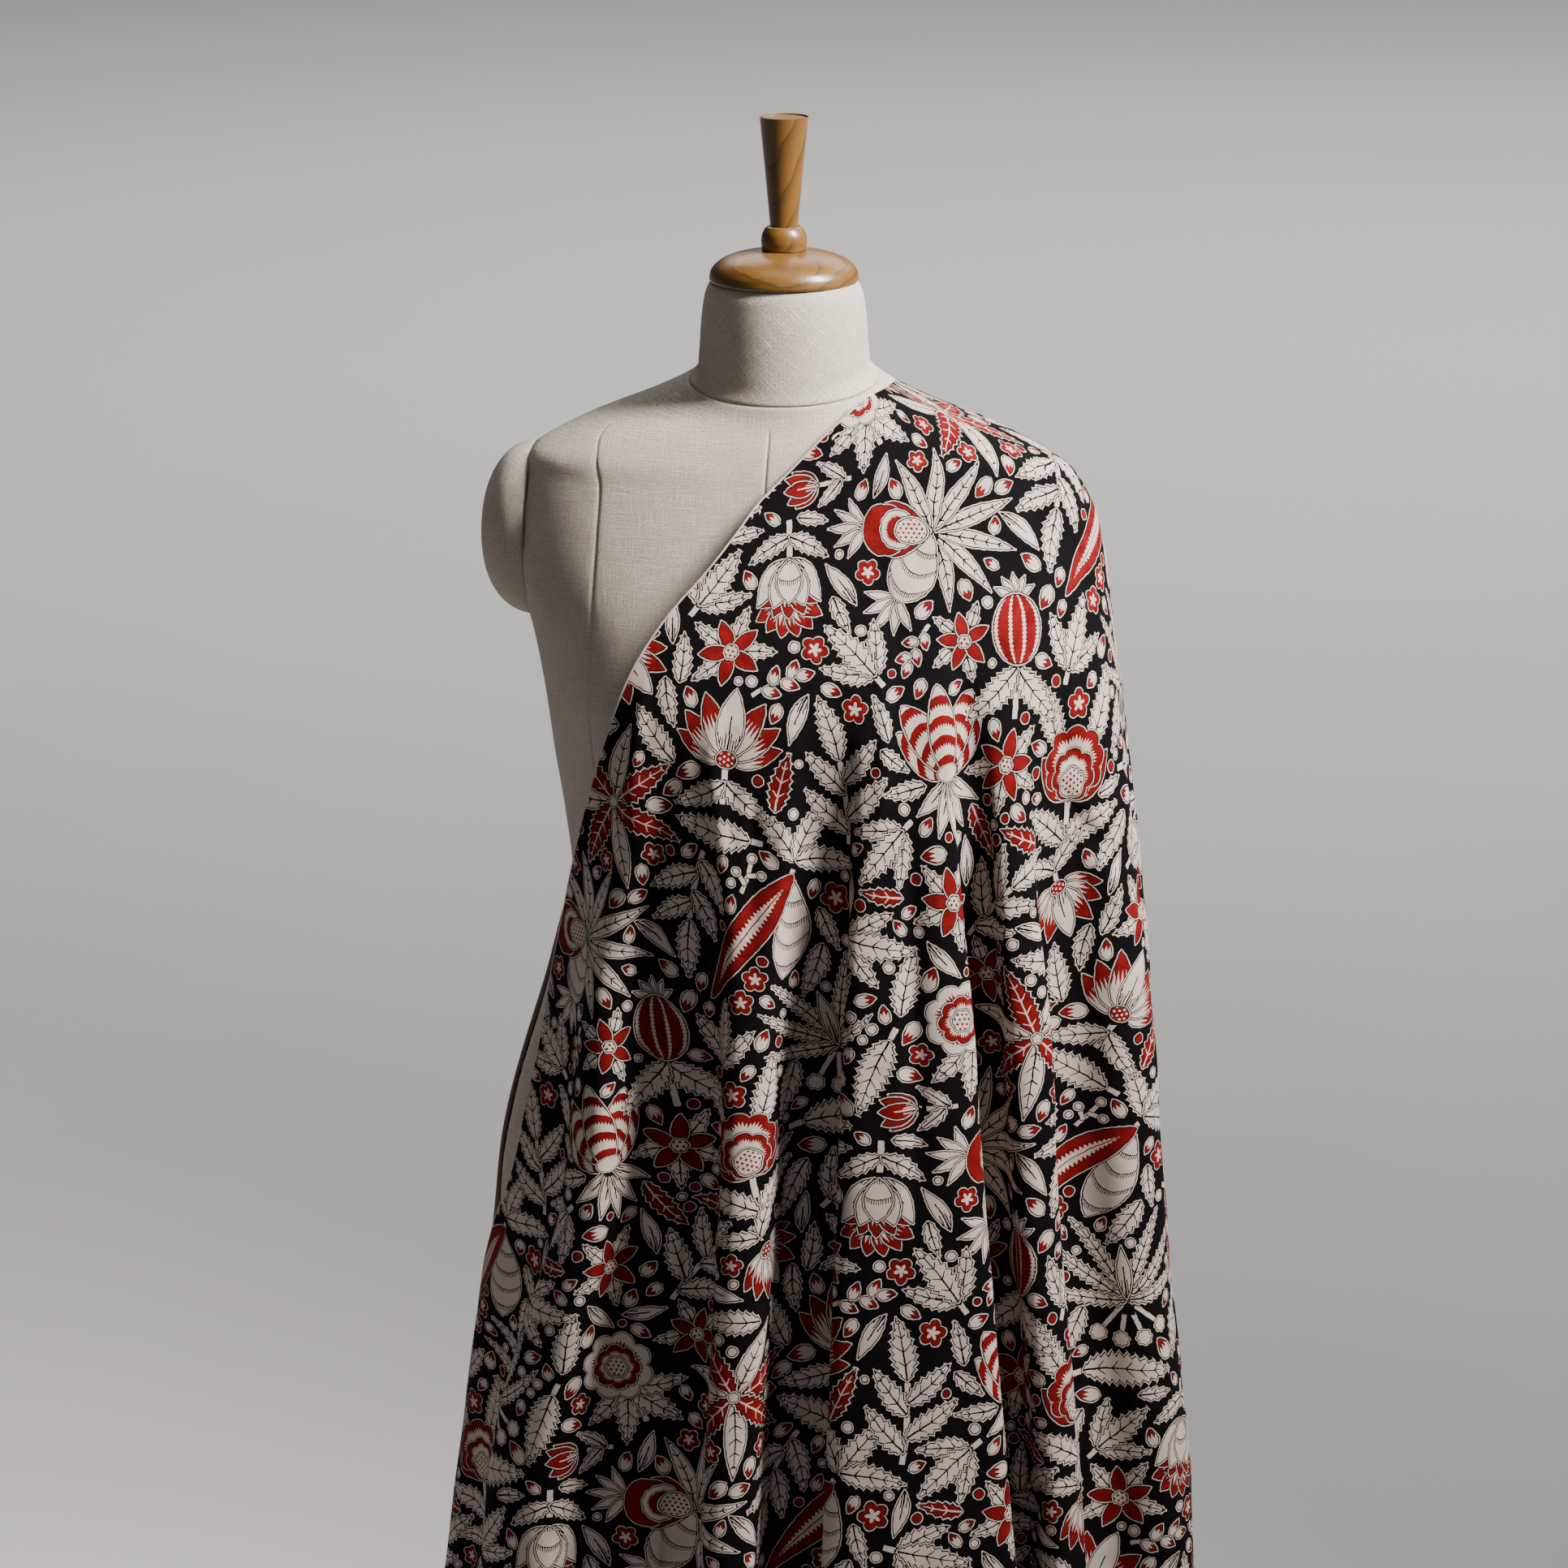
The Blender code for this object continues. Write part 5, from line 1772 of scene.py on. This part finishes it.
        place = np.arange(count * self.steps + 1) / self.steps
        first = np.minimum(place.astype(int), count - 1)
        t = (place - first)[None, :]
        swing = t + overlap[:, first] * np.sin(2.0 * math.pi * t) / (2.0 * math.pi)
        angle = lines[:, first] + (lines[:, first + 1] - lines[:, first]) * swing
        out = depth[:, first] + (depth[:, first + 1] - depth[:, first]) * 0.5 * (1.0 - np.cos(math.pi * t))
        height = top - dip * np.abs(2.0 * place[None, :] / count - 1.0) ** 2
        if folded:
            out = out + self.crease_out(angle, height) + self.unevenness(angle, height, grown[:, first])
            off = np.minimum(angle - front, back - angle) * math.radians(1.0) * self.arc
            out = out + self.turn_thick * hump(np.maximum(off, 0.0), self.edge_swell)
        return self.place(angle, height, out)

    def unevenness(self, degrees: Array, height: Array, grown: Array) -> Array:
        """Return slow ripples, in metres, that keep the folds from running dead straight.

        Args:
            degrees, height: places on the cloth.
            grown: from 0 where it lies on the form to 1 where it hangs free.
        """
        slow = np.sin(degrees * 0.21 + 9.0 * height) * np.sin(degrees * 0.083 - 17.0 * height + 1.3)
        fine = np.sin(degrees * 0.47 - 23.0 * height + 0.7) * np.sin(degrees * 0.19 + 41.0 * height)
        share = self.ripple_least + (1.0 - self.ripple_least) * grown
        return (self.ripple[0] * slow + self.ripple[1] * fine) * share

    def first_chart(self, folded: Array, plain: Array) -> Array:
        """Return a rough flat chart in millimetres: arc length across, square distance down.

        Both are measured from the side of the box fold at the waist.

        Args:
            folded, plain: the sheet's points, with its folds and without.
        """
        across = run_along(folded, 1)
        tangent = np.gradient(plain, axis=1)
        tangent = tangent / np.linalg.norm(tangent, axis=2, keepdims=True)
        step = np.diff(plain, axis=0)
        slide = np.sum(step * tangent[:-1], axis=2)
        down = np.linalg.norm(step - slide[..., None] * tangent[:-1], axis=2)
        zero = np.zeros((1, plain.shape[1]))
        down = np.concatenate((zero, np.cumsum(down, axis=0)))
        slide = np.concatenate((zero, np.cumsum(slide, axis=0)))
        anchor = int(self.anchor * self.steps)
        waist = int(np.argmin(np.abs(self.heights() - self.waist)))
        drift = np.where(np.arange(self.rows) < waist, slide[:, anchor] - slide[waist, anchor], 0.0)
        across = across - across[:, anchor:anchor + 1] + drift[:, None]
        return 1000.0 * np.stack((across, down[waist] - down), -1)

    def flat_chart(self, folded: Array, plain: Array) -> Array:
        """Return the sheet laid out flat, in millimetres, which the print follows.

        A net of every few rows and columns starts as the rough chart. Its sides and diagonals are
        pulled in turn to the lengths that they have on the cloth, and what lies between is read
        off along the rows' arc length.

        Args:
            folded, plain: the sheet's points, with its folds and without.
        """
        rows = np.linspace(0, self.rows - 1, self.net_rows).round().astype(int)
        columns = np.arange(0, folded.shape[1], self.net_step)
        across, down = 1000.0 * run_along(folded, 1), 1000.0 * run_along(folded, 0)
        side = np.diff(across[rows][:, columns], axis=1)
        rise = np.diff(down[rows][:, columns], axis=0)
        knots = plain[rows][:, columns]
        right, below = np.diff(knots, axis=1)[:-1], np.diff(knots, axis=0)[:, :-1]
        lean = np.sum(right * below, 2) / np.linalg.norm(right, axis=2) / np.linalg.norm(below, axis=2)
        wide, tall = 0.5 * (side[:-1] + side[1:]), 0.5 * (rise[:, :-1] + rise[:, 1:])
        square, cross = wide ** 2 + tall ** 2, 2.0 * wide * tall * lean
        falling, rising = np.sqrt(square + cross), np.sqrt(square - cross)

        net = self.first_chart(folded, plain)[rows][:, columns]
        r, c = np.arange(len(rows)), np.arange(len(columns))
        pulls = []
        for odd in (0, 1):
            i, j = np.arange(odd, len(r) - 1, 2), np.arange(odd, len(c) - 1, 2)
            pulls += [(np.ix_(r, j), np.ix_(r, j + 1), side[:, j]),
                      (np.ix_(i, c), np.ix_(i + 1, c), rise[i]),
                      (np.ix_(i, c[:-1]), np.ix_(i + 1, c[1:]), falling[i]),
                      (np.ix_(i, c[1:]), np.ix_(i + 1, c[:-1]), rising[i])]
        for _ in range(self.net_rounds):
            for low, high, length in pulls:
                span = net[high] - net[low]
                move = self.net_pull * (1.0 - length / np.linalg.norm(span, axis=2))[..., None] * span
                net[low] += move
                net[high] -= move

        lines = np.stack([np.stack([np.interp(across[row], across[row, columns], knot[:, axis])
                                    for axis in (0, 1)], -1) for row, knot in zip(rows, net)])
        at = np.interp(np.arange(self.rows), rows, r)
        first = np.minimum(at.astype(int), len(rows) - 2)
        part = (at - first)[:, None, None]
        return lines[first] + part * (lines[first + 1] - lines[first])

    def turn_under(self, grid: Array, chart: Array) -> tuple[Array, Array, Array]:
        """Add the narrow turned-under edge along both slanting edges.

        Args:
            grid: the sheet's points.
            chart: its flat layout in mm.

        Returns:
            The points, the print's coordinates, and each point's distance from its edge in mm.
        """
        distance = np.minimum(chart[..., 0] - chart[:, :1, 0], chart[:, -1:, 0] - chart[..., 0])
        parts, charts, edges = [grid], [chart], [distance]
        for side, inner, sign in ((0, 3, 1), (-1, -4, -1)):
            edge = grid[:, side]
            inward = grid[:, inner] - edge
            inward = inward / np.linalg.norm(inward, axis=1, keepdims=True)
            normal = np.cross(np.gradient(edge, axis=0), inward) * sign
            normal = normal / np.linalg.norm(normal, axis=1, keepdims=True)
            under, under_chart, under_edge = [], [], []
            for share, reach in zip((0.5, 1.0, 1.0), self.turn_in):
                shift = -self.turn_gap if share < 1.0 else reach
                under.append(edge - normal * self.turn_thick * share + inward * shift)
                under_chart.append(chart[:, side] - np.array([sign * 1000.0 * reach, 0.0]))
                under_edge.append(np.full(self.rows, self.edge_mark))
            order = slice(None, None, -sign)
            block = (np.stack(under, 1)[:, order], np.stack(under_chart, 1)[:, order],
                     np.stack(under_edge, 1)[:, order])
            for pile, new in zip((parts, charts, edges), block):
                pile.insert(0, new) if side == 0 else pile.append(new)
        return tuple(np.concatenate(pile, axis=1) for pile in (parts, charts, edges))

    def build(self) -> bpy.types.Object:
        """Make the cloth's mesh, with its print, and open its side slit.

        Returns:
            The cloth.
        """
        grid = self.sheet(True)
        chart = self.flat_chart(grid, self.sheet(False))
        points, chart, edge = self.turn_under(grid, chart)
        rows, columns = points.shape[:2]
        even = np.stack(np.meshgrid(np.linspace(0.0, 1.0, columns), np.linspace(1.0, 0.0, rows)), -1)
        coat = Print()
        pattern = chart / self.print_size
        piece = Surface("kalamkari_cloth", points, {"Print": pattern, "OFBake": even}).build(
            PrintedCotton().material(coat))
        mesh = piece.data
        layer = mesh.attributes.new("edge", "FLOAT", "POINT")
        layer.data.foreach_set("value", edge.ravel())
        corners = np.stack((pattern[:-1, :-1], pattern[1:, :-1], pattern[1:, 1:], pattern[:-1, 1:]), 2)
        corners = corners.reshape(-1, 4, 2)
        one, other = corners[:, 2] - corners[:, 0], corners[:, 3] - corners[:, 1]
        cut = 0.5e-6 * np.abs(one[:, 0] * other[:, 1] - one[:, 1] * other[:, 0]).sum()
        log.info("cut %.3f m2 within %s mm", cut * self.print_size ** 2, np.ptp(chart, axis=(0, 1)).round())
        reach = 0.5 * np.maximum(np.linalg.norm(corners[:, 0] - corners[:, 2], axis=1),
                                 np.linalg.norm(corners[:, 1] - corners[:, 3], axis=1))
        coat.apply(mesh, corners.mean(axis=1), reach)
        self.open_slit(mesh, rows, columns)
        return piece

    def open_slit(self, mesh: bpy.types.Mesh, rows: int, columns: int) -> None:
        """Part the cloth at the side: the faces behind the slit get an edge of their own.

        Args:
            mesh: the cloth's mesh.
            rows, columns: the size of its grid.
        """
        heights = self.heights()
        slit = len(self.turn_in) + self.steps * [fold.name for fold in FOLDS].index("slit_ridge")
        open_rows = np.flatnonzero(heights < self.slit_top)
        old = open_rows * columns + slit
        count = len(mesh.vertices)
        mesh.vertices.add(len(old))
        place = np.empty(3 * len(mesh.vertices))
        mesh.vertices.foreach_get("co", place)
        place = place.reshape(-1, 3)
        part = (self.slit_top - heights[open_rows]) / (self.slit_top - self.hem)
        turn = np.radians(self.slit_opening[0] + (self.slit_opening[1] - self.slit_opening[0]) * part)
        x, y, z = place[old].T
        place[count:] = np.stack((*rotated(x, y, turn), z), -1)
        mesh.vertices.foreach_set("co", place.ravel())
        corner = np.empty(len(mesh.loops), dtype=np.int32)
        mesh.loops.foreach_get("vertex_index", corner)
        corner = corner.reshape(-1, 4)
        new = np.full(count, -1)
        new[old] = count + np.arange(len(old))
        behind = np.arange(len(corner)) % (columns - 1) >= slit
        swap = behind[:, None] & (new[corner] >= 0)
        corner = np.where(swap, new[corner], corner)
        mesh.loops.foreach_set("vertex_index", corner.astype(np.int32).ravel())
        mesh.update(calc_edges=True)
        mesh.validate()

    def dress(self) -> None:
        piece = self.build()
        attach(piece, "root")
        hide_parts("cloth")


@dataclass
class TurnedPiece:
    """A piece turned on a lathe, from the top of its axis to the bottom."""

    name: str
    node: str
    slot: str
    profile: tuple[tuple[float, ...], ...]
    segments: int = 128
    per_step: int = 8
    sharp_from: float = 50.0

    def outline(self) -> Array:
        """Return the profile as radius and height: cubic between its rows, still at corners."""
        rows = [Turned(*row) for row in self.profile]
        at = np.stack((values_of(rows, "radius"), values_of(rows, "height")), -1)
        slope = np.gradient(at, axis=0)
        slope[values_of(rows, "corner")] = 0.0
        t = np.linspace(0.0, 1.0, self.per_step, endpoint=False)[:, None]
        curve = cubic(t, at[:-1, None], at[1:, None], slope[:-1, None], slope[1:, None])
        return np.concatenate((curve.reshape(-1, 2), at[-1:]))

    def build(self, finish: bpy.types.Material) -> None:
        """Turn the profile round the axis and set the piece in place of its solid.

        Args:
            finish: the piece's material.
        """
        curve = self.outline()[1:-1][::-1]
        angle = np.linspace(-math.pi, math.pi, self.segments, endpoint=False)[None, :]
        radius, height = curve[:, :1], curve[:, 1:]
        points = np.stack((radius * np.sin(angle), -radius * np.cos(angle), height + 0.0 * angle), -1)
        piece = Surface(self.name, points, closed=True, capped=True).build(finish)
        piece.data.set_sharp_from_angle(angle=math.radians(self.sharp_from))
        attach(piece, "root")
        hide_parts(self.node)


@dataclass
class Stand:
    """The wooden cap and handle, the collar and pole, and the painted base."""

    gap: float = 0.0003
    neck_top: float = 1.4705
    torso_floor: float = 0.720
    pole_radius: float = 0.017
    base_radius: float = 0.170
    base_rim: float = 0.010
    hub_top: float = 0.045

    def pieces(self) -> list[TurnedPiece]:
        """Return every turned piece with its profile: radius, height and whether it is a corner."""
        cap_foot = self.neck_top + self.gap
        cap = TurnedPiece("wooden_cap", "neck_cap", "turned_wood", (
            (0.0, 1.4920), (0.0160, 1.4918), (0.0300, 1.4898), (0.0400, 1.4866),
            (0.0466, 1.4824), (0.0499, 1.4782), (0.0510, 1.4742),
            (0.0511, 1.4722, True), (0.0502, cap_foot, True), (0.0, cap_foot, True)))
        handle = TurnedPiece("wooden_handle", "handle", "turned_wood", (
            (0.0, 1.5822, True), (0.0148, 1.5822, True), (0.0162, 1.5816),
            (0.0163, 1.5800), (0.0128, 1.5440), (0.0097, 1.5100), (0.0104, 1.5085),
            (0.0124, 1.5075), (0.0148, 1.5035), (0.0157, 1.4985),
            (0.0154, 1.4950), (0.0150, 1.4923, True), (0.0, 1.4923, True)))
        top = self.torso_floor - self.gap
        collar = TurnedPiece("wooden_collar", "pole_collar", "turned_wood", (
            (0.0, top, True), (0.0400, top, True), (0.0400, 0.712),
            (0.0360, 0.706), (0.0280, 0.703), (0.0260, 0.696, True),
            (0.0, 0.696, True)))
        hub = self.hub_top
        pole = TurnedPiece("stand_pole", "pole", "turned_wood", (
            (0.0, 0.6957, True), (self.pole_radius - 0.001, 0.6957),
            (self.pole_radius, 0.6940, True), (self.pole_radius, 0.380),
            (self.pole_radius, hub + self.gap, True), (0.0, hub + self.gap, True)))
        base = TurnedPiece("stand_base", "base", "painted_steel", (
            (0.0, hub, True), (0.0260, hub, True), (0.0280, hub - 0.002),
            (0.0290, 0.030), (0.0340, 0.024), (0.0600, 0.020), (0.1200, 0.017),
            (0.1600, self.base_rim + 0.003), (0.1680, self.base_rim),
            (self.base_radius, self.base_rim - 0.003), (self.base_radius, 0.002),
            (0.1685, 0.0, True), (0.0, 0.0, True)))
        return [cap, handle, collar, pole, base]

    def dress(self) -> None:
        """Build the turned pieces with their finishes."""
        finishes = {"neck_cap": TurnedWood().material(), "base": BlackPaint().material()}
        upright = TurnedWood("turned_wood_upright", middle=(0.03, 0.05, 0.0), upright=True).material()
        for piece in self.pieces():
            piece.build(finishes.get(piece.node, upright))


@dataclass
class Lamp:
    """A soft area light: its place, aim, size and power."""

    name: str
    place: tuple[float, float, float]
    aim: tuple[float, float, float]
    size: tuple[float, float]
    power: float
    colour: Colour = (1.0, 1.0, 1.0)
    spread: float = math.pi

    def build(self) -> None:
        """Put the light into the scene."""
        light = bpy.data.lights.new(self.name, "AREA")
        light.shape = "RECTANGLE"
        light.size, light.size_y = self.size
        light.energy = self.power
        light.color = self.colour
        light.spread = self.spread
        put(self.name, light, self.place, self.aim)


@dataclass
class Studio:
    """The pale floor, the soft lights and the camera.

    The camera's focal length is given in pixels of the photograph, whose side is the frame.
    """

    aim: tuple[float, float, float] = (0.0, 0.0, 1.117)
    distance: float = 4.2
    pitch: float = 14.0
    focal: float = 7434.0
    frame: float = 1932.0
    sensor: float = 36.0
    floor_half: float = 60.0
    overhead_power: float = 0.50
    overhead_angle: float = 35.0
    surround: Colour = (1.0, 0.985, 0.965)
    surround_power: float = 0.055

    def camera(self) -> None:
        """Set the camera where the photograph was taken from."""
        level = self.distance * math.cos(math.radians(self.pitch))
        turn = math.radians(DRAPE_TURN)
        place = (self.aim[0] + level * math.sin(turn), self.aim[1] - level * math.cos(turn),
                 self.aim[2] + self.distance * math.sin(math.radians(self.pitch)))
        data = bpy.data.cameras.new("camera")
        data.sensor_width = self.sensor
        data.lens = self.focal / self.frame * self.sensor
        data.clip_end = 200.0
        bpy.context.scene.camera = put("camera", data, place, self.aim)

    def floor(self) -> None:
        """Lay the floor."""
        half = self.floor_half
        across = np.linspace(-half, half, 3)
        x, y = np.meshgrid(across, across)
        points = np.stack((x, y, 0.0 * x), -1)[::-1]
        Surface("studio_floor", points).build(PaleFloor().material())

    def lights(self) -> None:
        """Hang the lights and set a pale surround."""
        Lamp("key", (1.52, -0.40, 2.75), (0.0, 0.0, 1.42), (0.5, 1.0), 27.0,
             (1.0, 0.965, 0.925), spread=1.0).build()
        Lamp("floor behind", (0.5, 8.5, 6.0), (0.5, 8.5, 0.0), (10.0, 8.0), 640.0).build()
        Lamp("floor in front", (-0.5, -9.0, 6.0), (-0.5, -9.0, 0.0), (8.0, 6.0), 40.0).build()
        self.overhead()
        world = bpy.data.worlds.new("surround")
        world.use_nodes = True
        back = world.node_tree.nodes["Background"]
        back.inputs["Color"].default_value = (*self.surround, 1.0)
        back.inputs["Strength"].default_value = self.surround_power
        bpy.context.scene.world = world

    def overhead(self) -> None:
        """Hang a wide soft light straight above, which brightens the floor."""
        light = bpy.data.lights.new("overhead", "SUN")
        light.energy = self.overhead_power
        light.angle = math.radians(self.overhead_angle)
        put("overhead", light, (0.0, 0.0, 6.0))

    def dress(self) -> None:
        """Make the whole studio."""
        self.camera()
        self.floor()
        self.lights()


def main() -> None:
    """Build the studio, the dress form, its stand and the cloth."""
    logging.basicConfig(level=logging.INFO, format="%(relativeCreated)6d ms  %(message)s")
    Studio().dress()
    form = DressForm()
    form.dress()
    Stand().dress()
    Cloth(form).dress()


if __name__ == "__main__":
    main()
